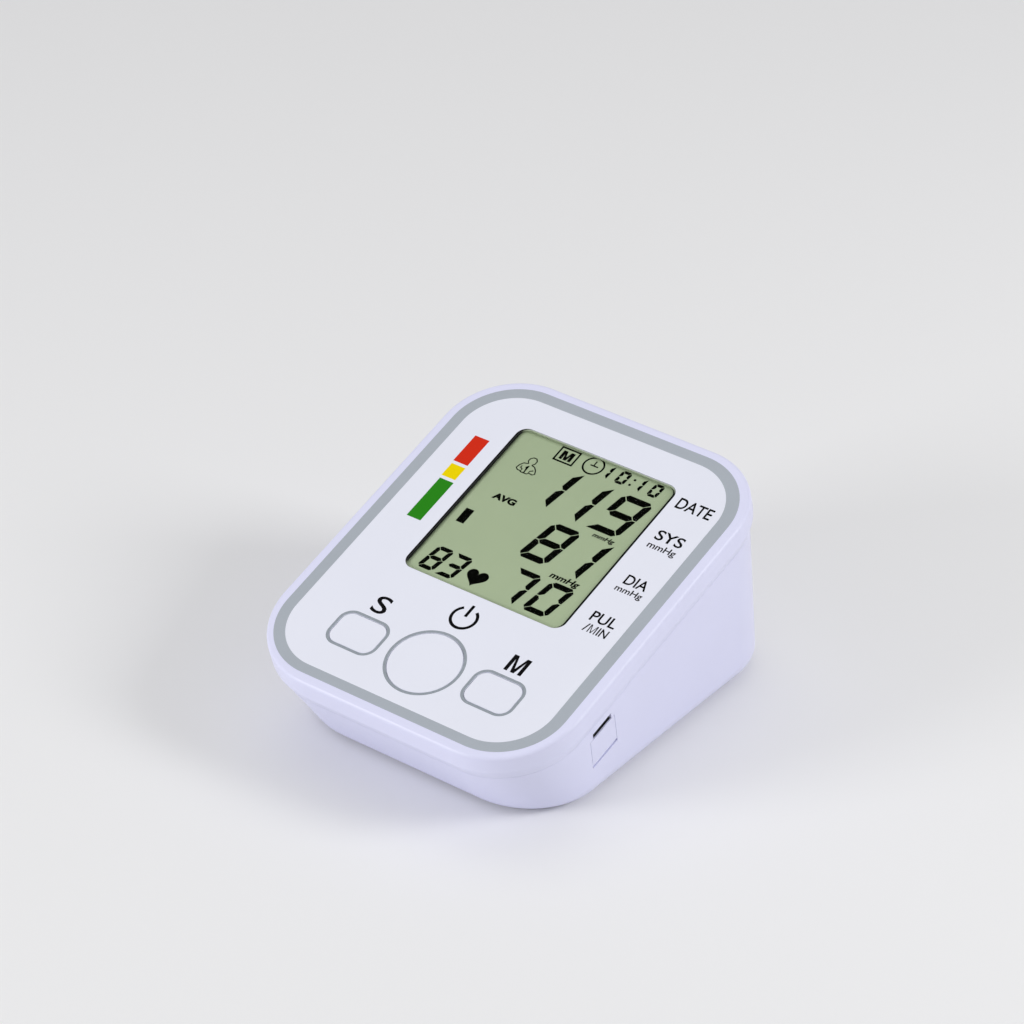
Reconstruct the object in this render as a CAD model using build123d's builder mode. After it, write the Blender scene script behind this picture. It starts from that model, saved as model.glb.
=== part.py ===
from build123d import *
from math import atan, cos, degrees, radians, sin, tan
import os

os.makedirs("parts", exist_ok=True)

# Desktop blood pressure monitor.  Millimetres, +Z up, +Y to the rear, +X to the user's right.
# The origin lies on the table under the middle of the whole unit.
# "Depth" is measured square to the sloping face, down into the case, and starts at the face.
# Places on the face are (across, up the slope) from the middle of the face panel.
# Places on the base are measured from the point under the middle of the face panel.

# ---- case ----
face_tilt = 18.0
foot_stand = 1.0
face_height = 47.94
lip_width = 100.8
lip_length = 124.2
lip_front_radius = 25.0
lip_rear_radius = 22.5
lip_edge_radius = 1.2
lip_straight = 6.5
lip_taper_height = 3.5
lip_taper_inset = 1.4
lip_blend = 3.0
base_width = 93.0
base_front = 41.2
base_rear = 74.0
base_front_radius = 23.3
base_rear_radius = 21.0
base_edge_radius = 6.0
wall = 2.4
parting_gap = 0.06
tongue_thickness = 1.0
tongue_height = 1.5
tongue_clearance = 0.15

# ---- face panel and display ----
panel_width = 94.56
panel_length = 118.0
panel_radius = 19.6
panel_thickness = 0.8
panel_clearance = 0.1
deck_thickness = 2.0
window_x = 0.4
window_y = 15.7
window_width = 54.1
window_length = 59.2
window_radius = 3.4
gasket_wall = 0.3
gasket_top = 0.15
gasket_height = 0.6
lens_drop = 0.2
lens_clearance = 0.05
glass_margin = 1.9
glass_radius = 1.5
glass_thickness = 2.8
glass_clearance = 0.2
stack_gap = 0.1
backlight_thickness = 3.0
backlight_margin = 0.6
connector_thickness = 2.4
connector_length = 50.0
holder_wall = 1.4
holder_ledge = 2.2
connector_clearance = 0.2

# ---- keys and their switches ----
key_row_x = 1.0
key_row_y = -40.4
key_spacing = 23.05
key_width = 14.93
key_length = 11.05
key_radius = 3.3
power_key_radius = 10.62
key_gap = 0.12
key_drop = 0.05
key_edge = 0.25
key_flange = 1.2
key_flange_thickness = 1.0
key_stop_gap = 0.1
key_stem_radius = 2.5
key_travel = 0.5
switch_width = 6.0
switch_height = 3.5
switch_button_radius = 1.75
switch_button_rise = 1.2
switch_button_root = 1.4
switch_clearance = 0.1

# ---- main board ----
board_depth = 9.4
board_thickness = 1.6
board_width = 66.0
board_front = -54.0
board_rear = 55.5
board_radius = 5.0
board_post_radius = 2.3
board_post_clearance = 0.8
board_post_inset = 3.0
board_rear_post_inset = 7.0
board_screw_radius = 1.0
board_hole_clearance = 0.1
board_screw_head_radius = 1.9
board_screw_head_height = 1.2
board_screw_bite = 3.4
chip_height = 1.4
chip_spots = [(0.0, 12.0, 12.0, 12.0), (-19.0, 20.0, 8.0, 6.0), (12.0, -26.0, 6.0, 7.0), (19.0, 30.0, 5.0, 9.0)]

# ---- case screws and feet ----
front_screw_y = -25.0
rear_screw_x = 38.0
rear_screw_y = 44.0
post_radius = 3.6
screw_radius = 1.4
screw_clearance = 0.1
screw_head_radius = 2.5
screw_head_clearance = 0.3
screw_head_height = 2.0
screw_seat = 4.0
screw_bite = 5.0
front_foot_x = 27.0
front_foot_y = -29.0
rear_foot_gap = 0.6
rear_foot_y = 53.0
foot_radius = 4.0
foot_clearance = 0.1
foot_recess = 0.6

# ---- batteries and their door ----
cell_radius = 7.1
cell_length = 49.5
cell_nub_radius = 2.7
cell_nub = 1.0
cell_pitch = 15.0
cell_gap = 0.2
cell_count = 4
box_front = 7.0
box_wall = 1.8
spring_length = 6.0
spring_radius = 3.4
spring_wire = 0.35
spring_pitch = 1.6
contact_thickness = 0.4
contact_width = 11.0
door_thickness = 2.0
door_clearance = 0.2
door_seat = 0.1
door_ledge = 0.8
door_pin_radius = 0.55
door_pin_bite = 3.0
door_notch_width = 14.0
door_notch_depth = 2.2
hinge_clearance = 0.05

# ---- charging port and its flap ----
port_up = -27.6
port_depth = 20.2
flap_width = 11.2
flap_top = 14.9
flap_bottom = 25.9
flap_thickness = 1.5
flap_lip_thickness = 0.4
flap_lip_height = 1.4
flap_gap = 0.15
flap_barrel_radius = 1.0
flap_pin_radius = 0.5
flap_pin_bite = 1.8
slot_width = 8.6
slot_height = 2.0
socket_width = 7.5
socket_height = 2.7
socket_length = 5.6
socket_wall = 0.3
socket_setback = 0.6
socket_back = 1.0
socket_tongue_width = 4.0
socket_tongue_thickness = 0.6
port_board_thickness = 1.2
port_board_width = 13.0
port_board_length = 6.2
port_board_setback = 1.0
port_post_radius = 2.0
port_post_spread = 4.2
port_post_setback = 3.6
port_board_post_gap = 0.7

# ---- air pump ----
pump_back = 44.0
can_radius = 12.0
can_wall = 1.2
can_left = -4.0
can_length = 30.0
bearing_thickness = 2.0
sleeve_thickness = 1.6
sleeve_length = 22.0
sleeve_clearance = 0.3
cradle_clearance = 0.15
magnet_thickness = 1.6
magnet_length = 20.0
magnet_slot = 6.0
magnet_air_gap = 0.6
armature_end_gap = 1.0
shaft_radius = 1.0
shaft_clearance = 0.05
shaft_overhang = 1.2
head_radius = 13.0
head_length = 22.0
head_wall = 2.6
crank_radius = 5.0
crank_throw = 1.2
crank_thickness = 4.0
crank_inset = 3.4
cradle_thickness = 3.0
cradle_width = 22.0
cradle_height = 8.0
cradle_spread = 7.0

# ---- air path ----
air_x = -16.0
air_up = -12.0
air_depth = 24.5
nozzle_radius = 2.0
nozzle_bore = 1.0
tube_wall = 1.0
tube_end_gap = 0.4
manifold_size = 7.0
manifold_nozzle = 3.5
pump_nozzle = 6.0
cuff_bore_radius = 2.6
cuff_bore_length = 11.0
cuff_socket_radius = 5.0
cuff_socket_end = 1.4
cuff_flange_radius = 6.6
cuff_flange_thickness = 1.6
cuff_flange_gap = 0.6
cuff_collar = 0.5
cuff_hole_clearance = 0.1
cuff_nozzle = 6.0
valve_radius = 6.0
valve_length = 16.0
valve_gap = 8.0
valve_nozzle = 3.5
plunger_radius = 2.0
plunger_clearance = 0.08
plunger_length = 10.0
plunger_overhang = 1.5
plunger_travel = 0.8
plunger_stop_gap = 0.1
valve_rib_thickness = 2.4
valve_rib_width = 14.0
valve_rib_spread = 5.0
valve_rib_clearance = 0.1
manifold_rest_width = 5.0
manifold_rest_gap = 0.1
sensor_width = 8.0
sensor_height = 3.0
sensor_nozzle = 3.0
buzzer_inset = 13.0
buzzer_radius = 6.0
buzzer_height = 7.0
buzzer_hole = 1.2

# ---- planes of the sloping face ----
slope_sin = sin(radians(face_tilt))
slope_cos = cos(radians(face_tilt))
slope_tan = tan(radians(face_tilt))
skirt_depth = lip_straight + lip_taper_height
tub_depth = skirt_depth + parting_gap
deck_bottom = panel_thickness + deck_thickness
lip_half = lip_length / 2
tub_half = lip_half - lip_taper_inset
rear_edge_y = tub_half * slope_cos + tub_depth * slope_sin
rear_edge_z = face_height + tub_half * slope_sin - tub_depth * slope_cos
rear_wall_angle = atan((rear_edge_z - foot_stand) / (base_rear - rear_edge_y))
front_reach = (lip_half - lip_edge_radius) * slope_cos - lip_edge_radius * slope_sin + lip_edge_radius
rear_reach = base_rear - base_edge_radius / tan(rear_wall_angle / 2) + base_edge_radius
face_y = (front_reach - rear_reach) / 2
face_plane = Plane(origin=(0, face_y, face_height), x_dir=(1, 0, 0), z_dir=(0, -slope_sin, slope_cos))
face_axis = Axis(face_plane.origin, face_plane.z_dir)
# side plane: x runs up the slope, y square out of the face, z to the right
side_plane = Plane(origin=face_plane.origin, x_dir=(0, slope_cos, slope_sin), z_dir=(1, 0, 0))
# slope plane: x runs to the right, y square into the case, z up the slope
slope_plane = Plane(origin=face_plane.origin, x_dir=(1, 0, 0), z_dir=(0, slope_cos, slope_sin))


def face_level(depth):
    return face_plane.offset(-depth)


def height_at(y, depth):
    """Height of the level at this depth, over a place y on the base."""
    return face_height + y * slope_tan - depth / slope_cos


def up_at(y, depth):
    """How far up the slope the level at this depth lies over a place y on the base."""
    return (y - depth * slope_sin) / slope_cos


def wall_x(up, depth):
    """Half the width of the tub at a place on its side wall."""
    y = up * slope_cos + depth * slope_sin
    z = face_height + up * slope_sin - depth * slope_cos
    share = (z - foot_stand) / (height_at(y, tub_depth) - foot_stand)
    return base_width / 2 + (lip_width / 2 - lip_taper_inset - base_width / 2) * share


def both_sides(spot):
    return [(-spot[0], spot[1]), spot]


def on_base(spots):
    return [(x, face_y + y) for x, y in spots]


# ---- outlines that several pieces share ----
def rounded_outline(plane, width, front, rear, front_radius, rear_radius):
    with BuildSketch(plane) as outline:
        with Locations((0, (front + rear) / 2)):
            Rectangle(width, rear - front)
        fillet(outline.vertices().group_by(Axis.Y)[0], front_radius)
        fillet(outline.vertices().group_by(Axis.Y)[-1], rear_radius)
    return outline.sketch


def lip_outline(depth, inset):
    reach = lip_half - inset
    front_radius = lip_front_radius - inset
    rear_radius = lip_rear_radius - inset
    return rounded_outline(face_level(depth), lip_width - 2 * inset, -reach, reach, front_radius, rear_radius)


def base_outline(inset):
    return rounded_outline(
        Plane.XY.offset(foot_stand + inset),
        base_width - 2 * inset,
        face_y - base_front + inset,
        face_y + base_rear - inset,
        base_front_radius - inset,
        base_rear_radius - inset,
    )


def tub(inset):
    """The deep lower body, shrunk by inset at its walls and its floor."""
    with BuildPart() as body:
        loft([base_outline(inset), lip_outline(tub_depth, lip_taper_inset + inset)], ruled=True)
        fillet(body.faces().sort_by(Axis.Z)[0].edges(), base_edge_radius - inset)
    return body.part


def panel_sketch(depth, margin):
    with BuildSketch(face_level(depth)) as shape:
        RectangleRounded(panel_width + 2 * margin, panel_length + 2 * margin, panel_radius + margin)
    return shape.sketch


def window_sketch(depth, margin, radius):
    with BuildSketch(face_level(depth)) as shape:
        with Locations((window_x, window_y)):
            RectangleRounded(window_width + 2 * margin, window_length + 2 * margin, radius)
    return shape.sketch


def side_key_sketch(depth, x, margin):
    with BuildSketch(face_level(depth)) as shape:
        with Locations((x, key_row_y)):
            RectangleRounded(key_width + 2 * margin, key_length + 2 * margin, key_radius + margin)
    return shape.sketch


def power_key_sketch(depth, margin):
    with BuildSketch(face_level(depth)) as shape:
        with Locations((key_row_x, key_row_y)):
            Circle(power_key_radius + margin)
    return shape.sketch


def circles(plane, spots, radius):
    with BuildSketch(plane) as shape:
        with Locations(*spots):
            Circle(radius)
    return shape.sketch


# ---- charging port place: behind a flap in the right-hand wall ----
flap_axis_depth = flap_bottom - flap_barrel_radius
flap_axis_x = wall_x(port_up, flap_axis_depth) - flap_barrel_radius
port_mouth_x = wall_x(port_up, port_depth) - flap_thickness - socket_setback
port_cut_x = port_mouth_x - wall
port_board_level = port_depth + socket_height / 2
port_board_right = port_mouth_x - port_board_setback
port_post_x = port_board_right - port_post_setback
port_posts = [(port_post_x, port_up - port_post_spread), (port_post_x, port_up + port_post_spread)]

# ---- places that several pieces share ----
set_key_x = key_row_x - key_spacing
memory_key_x = key_row_x + key_spacing
board_front_post = (board_width / 2 - board_post_inset, board_front + board_post_inset)
board_rear_post = (board_width / 2 - board_rear_post_inset, board_rear - board_post_inset)
board_posts = both_sides(board_front_post) + both_sides(board_rear_post)
front_screw_x = port_board_right - port_board_length - port_board_post_gap - post_radius
front_screw = (front_screw_x, front_screw_y)
case_screws = both_sides(front_screw) + both_sides((rear_screw_x, rear_screw_y))
buzzer_x = board_width / 2 - buzzer_inset
tub_shell = tub(0)
tub_inside = tub(wall)
tub_limit = tub(wall / 2)

# ---- upper casing: rim, deck and skirt, with posts for the board and the case screws ----
groove_height = tongue_height - parting_gap + tongue_clearance
groove_inset = lip_taper_inset + wall - tongue_thickness - tongue_clearance
deck_middle = panel_thickness + deck_thickness / 2

with BuildPart() as case_bosses:
    extrude(circles(Plane.XY, on_base(case_screws), post_radius), amount=face_height + lip_half)
    split(bisect_by=face_level(deck_middle), keep=Keep.BOTTOM)
    split(bisect_by=face_level(skirt_depth), keep=Keep.TOP)

with BuildPart() as upper_casing:
    extrude(lip_outline(0, 0), amount=-lip_straight)
    fillet(upper_casing.faces().sort_by(face_axis)[-1].edges(), lip_edge_radius)
    taper_angle = degrees(atan(lip_taper_inset / lip_taper_height))
    extrude(lip_outline(lip_straight, 0), amount=-lip_taper_height, taper=taper_angle)
    crease = upper_casing.edges().filter_by_position(face_axis, -lip_straight - 0.01, -lip_straight + 0.01)
    fillet(crease, lip_blend)
    skirt_room = skirt_depth - deck_bottom
    extrude(lip_outline(deck_bottom, lip_taper_inset + wall), amount=-skirt_room, mode=Mode.SUBTRACT)
    extrude(lip_outline(skirt_depth, groove_inset), amount=groove_height, mode=Mode.SUBTRACT)
    extrude(panel_sketch(0, panel_clearance), amount=-panel_thickness, mode=Mode.SUBTRACT)
    glass_room = glass_margin + glass_clearance
    extrude(window_sketch(0, glass_room, glass_radius), amount=-deck_bottom, mode=Mode.SUBTRACT)
    extrude(side_key_sketch(0, set_key_x, key_gap), amount=-deck_bottom, mode=Mode.SUBTRACT)
    extrude(side_key_sketch(0, memory_key_x, key_gap), amount=-deck_bottom, mode=Mode.SUBTRACT)
    extrude(power_key_sketch(0, key_gap), amount=-deck_bottom, mode=Mode.SUBTRACT)
    add(case_bosses.part)
    extrude(circles(face_level(board_depth), board_posts, board_post_radius), amount=board_depth - deck_middle)
    pilot = circles(face_level(board_depth), board_posts, board_screw_radius)
    extrude(pilot, amount=board_screw_bite + board_hole_clearance, mode=Mode.SUBTRACT)
    for x, y in case_screws:
        pilot_bottom = height_at(y, skirt_depth) - post_radius
        pilot = circles(Plane.XY.offset(pilot_bottom), on_base([(x, y)]), screw_radius)
        extrude(pilot, amount=post_radius + screw_bite + screw_clearance, mode=Mode.SUBTRACT)
upper_casing.part.label = "upper_casing"
export_step(upper_casing.part, "parts/upper_casing.step")

# ---- battery compartment sizes, shared by the lower casing, the door and the cells ----
box_half = cell_count * cell_pitch / 2 + cell_gap
box_front_y = face_y + box_front
box_rear_y = box_front_y + 2 * contact_thickness + cell_length + cell_nub + spring_length
box_floor_z = foot_stand + door_thickness + door_seat
cell_z = box_floor_z + cell_gap + cell_radius
box_roof_z = cell_z + cell_radius + cell_gap
box_top_z = box_roof_z + box_wall
door_front_y = box_front_y - door_ledge
door_rear_y = box_rear_y + door_ledge
door_half = box_half + door_ledge
rear_foot_x = door_half + rear_foot_gap + foot_radius
door_pin_y = door_front_y + door_clearance + door_thickness / 2
door_pin_z = foot_stand + door_thickness / 2

# ---- pump place: it lies across the unit on the roof of the battery compartment ----
pump_y = face_y + pump_back
pump_z = box_top_z + sleeve_clearance + can_radius + sleeve_thickness
pump_up = (pump_y - face_y) * slope_cos + (pump_z - face_height) * slope_sin
can_right = can_left + can_length
can_middle = can_left + can_length / 2
head_left = can_left - head_length

# ---- deflation valve place: below the manifold on the slope ----
valve_top = air_up - manifold_size / 2 - valve_gap
valve_end = valve_top - valve_length
valve_middle = (valve_top + valve_end) / 2

# ---- cuff socket place: in the left-hand wall ----
cuff_wall_x = -wall_x(air_up, air_depth)
cuff_mouth_x = cuff_wall_x - cuff_collar
cuff_barrel_end = cuff_mouth_x + cuff_bore_length + cuff_socket_end
cuff_flange_x = cuff_wall_x + wall + cuff_flange_gap
cuff_spot = [(air_up, -air_depth)]


def across(x):
    """Plane square to X, with the pump's axis at its origin."""
    return Plane(origin=(x, pump_y, pump_z), x_dir=(0, 1, 0), z_dir=(1, 0, 0))


def side_level(x):
    return side_plane.offset(x)


def slope_level(up):
    return slope_plane.offset(up)


# ---- lower casing: tub, battery box, screw posts, pump cradle, port posts ----
with BuildPart() as fittings:
    box_middle_y = (box_front_y + box_rear_y) / 2
    box_length = box_rear_y - box_front_y + 2 * box_wall
    with BuildSketch(Plane.XY.offset(foot_stand)):
        with Locations((0, box_middle_y)):
            Rectangle(2 * (box_half + box_wall), box_length)
    extrude(amount=box_top_z - foot_stand)
    extrude(circles(Plane.XY.offset(foot_stand), on_base(case_screws), post_radius), amount=face_height)
    for rib_x in (can_middle - cradle_spread, can_middle + cradle_spread):
        with BuildSketch(Plane.XY.offset(box_top_z)):
            with Locations((rib_x, pump_y)):
                Rectangle(cradle_thickness, cradle_width)
        extrude(amount=cradle_height)
    sleeve_bore = circles(across(can_left), [(0, 0)], can_radius + sleeve_thickness + cradle_clearance)
    extrude(sleeve_bore, amount=can_length, mode=Mode.SUBTRACT)
    port_post_level = face_level(port_board_level + port_board_thickness)
    extrude(circles(port_post_level, port_posts, port_post_radius), amount=-face_height)
    # two ribs with a round seat for the valve, and a rest under the air manifold
    rib_reach = face_height - air_depth
    for rib_up in (valve_middle - valve_rib_spread, valve_middle + valve_rib_spread):
        with BuildSketch(slope_level(rib_up)):
            with Locations((air_x, air_depth + rib_reach / 2)):
                Rectangle(valve_rib_width, rib_reach)
            with Locations((air_x, air_depth)):
                Circle(valve_radius + valve_rib_clearance, mode=Mode.SUBTRACT)
        extrude(amount=valve_rib_thickness / 2, both=True)
    rest_top = air_depth + manifold_size / 2 + manifold_rest_gap
    with BuildSketch(face_level(rest_top)):
        with Locations((air_x, air_up)):
            Rectangle(manifold_rest_width, manifold_rest_width)
    extrude(amount=-face_height)
    add(tub_limit, mode=Mode.INTERSECT)

with BuildPart() as lower_casing:
    add(tub_shell)
    add(tub_inside, mode=Mode.SUBTRACT)
    extrude(lip_outline(tub_depth, lip_taper_inset + wall - tongue_thickness), amount=tongue_height)
    extrude(lip_outline(tub_depth, lip_taper_inset + wall), amount=tongue_height, mode=Mode.SUBTRACT)
    add(fittings.part)
    # battery compartment, open at the bottom, and the wider seat of its door
    with BuildSketch(Plane.XY):
        with Locations((0, box_middle_y)):
            Rectangle(2 * box_half, box_rear_y - box_front_y)
    extrude(amount=box_roof_z, mode=Mode.SUBTRACT)
    with BuildSketch(Plane.XY):
        with Locations((0, (door_front_y + door_rear_y) / 2)):
            Rectangle(2 * door_half, door_rear_y - door_front_y)
    extrude(amount=box_floor_z, mode=Mode.SUBTRACT)
    with BuildSketch(Plane(origin=(0, door_pin_y, door_pin_z), z_dir=(1, 0, 0))):
        Circle(door_pin_radius)
    extrude(amount=door_half + door_pin_bite, both=True, mode=Mode.SUBTRACT)
    # case screws come up through deep counterbores
    for x, y in case_screws:
        seat_z = height_at(y, skirt_depth) - screw_seat
        mouth = circles(Plane.XY, on_base([(x, y)]), screw_head_radius + screw_head_clearance)
        extrude(mouth, amount=seat_z, mode=Mode.SUBTRACT)
        shank = circles(Plane.XY, on_base([(x, y)]), screw_radius + screw_clearance)
        extrude(shank, amount=face_height + lip_half, mode=Mode.SUBTRACT)
    foot_spots = on_base(both_sides((front_foot_x, front_foot_y)) + both_sides((rear_foot_x, rear_foot_y)))
    foot_seat = circles(Plane.XY, foot_spots, foot_radius + foot_clearance)
    extrude(foot_seat, amount=foot_stand + foot_recess, mode=Mode.SUBTRACT)
    # flap opening with its finger slot above, and the flap's pin
    flap_room = flap_bottom - flap_top + 2 * flap_gap
    with BuildSketch(side_level(port_cut_x)):
        with Locations((port_up, -(flap_top + flap_bottom) / 2)):
            Rectangle(flap_width + 2 * flap_gap, flap_room)
        with Locations((port_up, -(flap_top - flap_gap - slot_height / 2))):
            Rectangle(slot_width, slot_height + flap_gap)
    extrude(amount=lip_width, mode=Mode.SUBTRACT)
    flap_pin_length = flap_width + 2 * flap_pin_bite
    pin_hole = circles(slope_level(port_up), [(flap_axis_x, flap_axis_depth)], flap_pin_radius)
    extrude(pin_hole, amount=flap_pin_length / 2, both=True, mode=Mode.SUBTRACT)
    cuff_hole = circles(side_level(cuff_flange_x), cuff_spot, cuff_socket_radius + cuff_hole_clearance)
    extrude(cuff_hole, amount=-lip_width, mode=Mode.SUBTRACT)
lower_casing.part.label = "lower_casing"
export_step(lower_casing.part, "parts/lower_casing.step")

# ---- face panel: printed sheet with the window and key openings ----
with BuildPart() as face_panel:
    extrude(panel_sketch(0, 0), amount=-panel_thickness)
    extrude(window_sketch(0, 0, window_radius), amount=-panel_thickness, mode=Mode.SUBTRACT)
    extrude(side_key_sketch(0, set_key_x, key_gap), amount=-panel_thickness, mode=Mode.SUBTRACT)
    extrude(side_key_sketch(0, memory_key_x, key_gap), amount=-panel_thickness, mode=Mode.SUBTRACT)
    extrude(power_key_sketch(0, key_gap), amount=-panel_thickness, mode=Mode.SUBTRACT)
face_panel.part.label = "face_panel"
export_step(face_panel.part, "parts/face_panel.step")

# ---- display window: black gasket with the clear lens inside it ----
gasket_radius = window_radius - gasket_wall
lens_radius = gasket_radius - lens_clearance
lens_thickness = gasket_height - lens_drop

with BuildPart() as window_gasket:
    extrude(window_sketch(gasket_top, 0, window_radius), amount=-gasket_height)
    extrude(window_sketch(gasket_top, -gasket_wall, gasket_radius), amount=-gasket_height, mode=Mode.SUBTRACT)
window_gasket.part.label = "window_gasket"
export_step(window_gasket.part, "parts/window_gasket.step")

with BuildPart() as window_lens:
    lens_outline = window_sketch(gasket_top + lens_drop, -gasket_wall - lens_clearance, lens_radius)
    extrude(lens_outline, amount=-lens_thickness)
window_lens.part.label = "window_lens"
export_step(window_lens.part, "parts/window_lens.step")

# ---- display stack: glass, light box, connector strip and the frame around them ----
glass_top = gasket_top + gasket_height + stack_gap
glass_bottom = glass_top + glass_thickness
backlight_top = glass_bottom + stack_gap
glass_half_length = window_length / 2 + glass_margin
holder_margin = glass_margin + glass_clearance

with BuildPart() as lcd_glass:
    extrude(window_sketch(glass_top, glass_margin, glass_radius), amount=-glass_thickness)
lcd_glass.part.label = "lcd_glass"
export_step(lcd_glass.part, "parts/lcd_glass.step")

with BuildPart() as lcd_backlight:
    backlight_front = window_y - glass_half_length + connector_thickness + 2 * backlight_margin
    backlight_rear = window_y + glass_half_length - backlight_margin
    with BuildSketch(face_level(backlight_top)):
        with Locations((window_x, (backlight_front + backlight_rear) / 2)):
            Rectangle(window_width + 2 * (glass_margin - backlight_margin), backlight_rear - backlight_front)
    extrude(amount=-backlight_thickness)
lcd_backlight.part.label = "lcd_backlight"
export_step(lcd_backlight.part, "parts/lcd_backlight.step")

with BuildPart() as lcd_connector:
    strip_up = window_y - glass_half_length + backlight_margin / 2 + connector_thickness / 2
    with BuildSketch(face_level(glass_bottom)):
        with Locations((window_x, strip_up)):
            Rectangle(connector_length, connector_thickness)
    extrude(amount=-(board_depth - glass_bottom))
lcd_connector.part.label = "lcd_connector"
export_step(lcd_connector.part, "parts/lcd_connector.step")

with BuildPart() as lcd_holder:
    holder_height = board_depth - deck_bottom
    holder_radius = glass_radius + holder_wall
    ledge_top = backlight_top + backlight_thickness + stack_gap
    extrude(window_sketch(deck_bottom, holder_margin + holder_wall, holder_radius), amount=-holder_height)
    seat_room = ledge_top - deck_bottom
    extrude(window_sketch(deck_bottom, holder_margin, glass_radius), amount=-seat_room, mode=Mode.SUBTRACT)
    ledge_opening = window_sketch(deck_bottom, holder_margin - holder_ledge, glass_radius)
    extrude(ledge_opening, amount=-holder_height, mode=Mode.SUBTRACT)
    with BuildSketch(face_level(ledge_top)):
        with Locations((window_x, strip_up)):
            Rectangle(connector_length + 2 * connector_clearance, connector_thickness + 2 * connector_clearance)
    extrude(amount=-(board_depth - ledge_top), mode=Mode.SUBTRACT)
lcd_holder.part.label = "lcd_holder"
export_step(lcd_holder.part, "parts/lcd_holder.step")


# ---- keys: cap, stop flange under the deck and stem on the switch ----
flange_top = deck_bottom + key_stop_gap
flange_bottom = flange_top + key_flange_thickness
switch_top = board_depth - switch_height
switch_button_top = switch_top - switch_button_rise
stem_length = switch_button_top - flange_bottom
cap_length = flange_bottom - key_drop


def key_stem(x):
    return circles(face_level(flange_bottom), [(x, key_row_y)], key_stem_radius)


def side_key(x, name):
    with BuildPart() as key:
        extrude(side_key_sketch(key_drop, x, 0), amount=-cap_length)
        fillet(key.faces().sort_by(face_axis)[-1].edges(), key_edge)
        extrude(side_key_sketch(flange_top, x, key_flange), amount=-key_flange_thickness)
        extrude(key_stem(x), amount=-stem_length)
    key.part.label = name
    export_step(key.part, f"parts/{name}.step")
    return key.part


set_key = side_key(set_key_x, "set_key")
memory_key = side_key(memory_key_x, "memory_key")

with BuildPart() as power_key:
    extrude(power_key_sketch(key_drop, 0), amount=-cap_length)
    fillet(power_key.faces().sort_by(face_axis)[-1].edges(), key_edge)
    extrude(power_key_sketch(flange_top, key_flange), amount=-key_flange_thickness)
    extrude(key_stem(key_row_x), amount=-stem_length)
power_key.part.label = "power_key"
export_step(power_key.part, "parts/power_key.step")

# ---- key switches: three bodies on the board, and a moving button in each ----
switch_spots = [(set_key_x, key_row_y), (key_row_x, key_row_y), (memory_key_x, key_row_y)]

with BuildPart() as tact_switches:
    with BuildSketch(face_level(switch_top)):
        with Locations(*switch_spots):
            Rectangle(switch_width, switch_width)
    extrude(amount=-switch_height)
    bore_depth = switch_button_root + key_travel + switch_clearance
    bore = circles(face_level(switch_top), switch_spots, switch_button_radius + switch_clearance)
    extrude(bore, amount=-bore_depth, mode=Mode.SUBTRACT)
tact_switches.part.label = "tact_switches"
export_step(tact_switches.part, "parts/tact_switches.step")

button_length = switch_button_rise + switch_button_root
for spot, name in zip(switch_spots, ["set_switch_button", "power_switch_button", "memory_switch_button"]):
    with BuildPart() as switch_button:
        extrude(circles(face_level(switch_button_top), [spot], switch_button_radius), amount=-button_length)
    switch_button.part.label = name
    export_step(switch_button.part, f"parts/{name}.step")

# ---- main board with its screws and chips ----
board_bottom = board_depth + board_thickness
boss_notches = [(x, up_at(y, board_depth + board_thickness / 2)) for x, y in both_sides(front_screw)]

with BuildPart() as main_board:
    board_sheet = rounded_outline(
        face_level(board_depth), board_width, board_front, board_rear, board_radius, board_radius
    )
    extrude(board_sheet, amount=-board_thickness)
    holes = circles(face_level(board_depth), board_posts, board_screw_radius + board_hole_clearance)
    extrude(holes, amount=-board_thickness, mode=Mode.SUBTRACT)
    notches = circles(face_level(board_depth), boss_notches, post_radius + board_post_clearance)
    extrude(notches, amount=-board_thickness, mode=Mode.SUBTRACT)
main_board.part.label = "main_board"
export_step(main_board.part, "parts/main_board.step")

with BuildPart() as board_screws:
    shank_bottom = face_level(board_bottom)
    extrude(circles(shank_bottom, board_posts, board_screw_radius), amount=board_thickness + board_screw_bite)
    extrude(circles(shank_bottom, board_posts, board_screw_head_radius), amount=-board_screw_head_height)
board_screws.part.label = "board_screws"
export_step(board_screws.part, "parts/board_screws.step")

with BuildPart() as board_chips:
    for x, up, width, length in chip_spots:
        with BuildSketch(face_level(board_bottom)):
            with Locations((x, up)):
                Rectangle(width, length)
        extrude(amount=-chip_height)
board_chips.part.label = "board_chips"
export_step(board_chips.part, "parts/board_chips.step")

with BuildPart() as buzzer:
    extrude(circles(face_level(board_bottom), [(buzzer_x, air_up)], buzzer_radius), amount=-buzzer_height)
    buzzer_face = face_level(board_bottom + buzzer_height)
    extrude(circles(buzzer_face, [(buzzer_x, air_up)], buzzer_hole), amount=buzzer_hole, mode=Mode.SUBTRACT)
buzzer.part.label = "buzzer"
export_step(buzzer.part, "parts/buzzer.step")

# ---- case screws and rubber feet ----
with BuildPart() as casing_screws:
    for x, y in case_screws:
        seat_z = height_at(y, skirt_depth) - screw_seat
        spot = on_base([(x, y)])
        extrude(circles(Plane.XY.offset(seat_z), spot, screw_radius), amount=screw_seat + screw_bite)
        extrude(circles(Plane.XY.offset(seat_z), spot, screw_head_radius), amount=-screw_head_height)
casing_screws.part.label = "casing_screws"
export_step(casing_screws.part, "parts/casing_screws.step")

with BuildPart() as rubber_feet:
    extrude(circles(Plane.XY, foot_spots, foot_radius), amount=foot_stand + foot_recess)
rubber_feet.part.label = "rubber_feet"
export_step(rubber_feet.part, "parts/rubber_feet.step")

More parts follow.
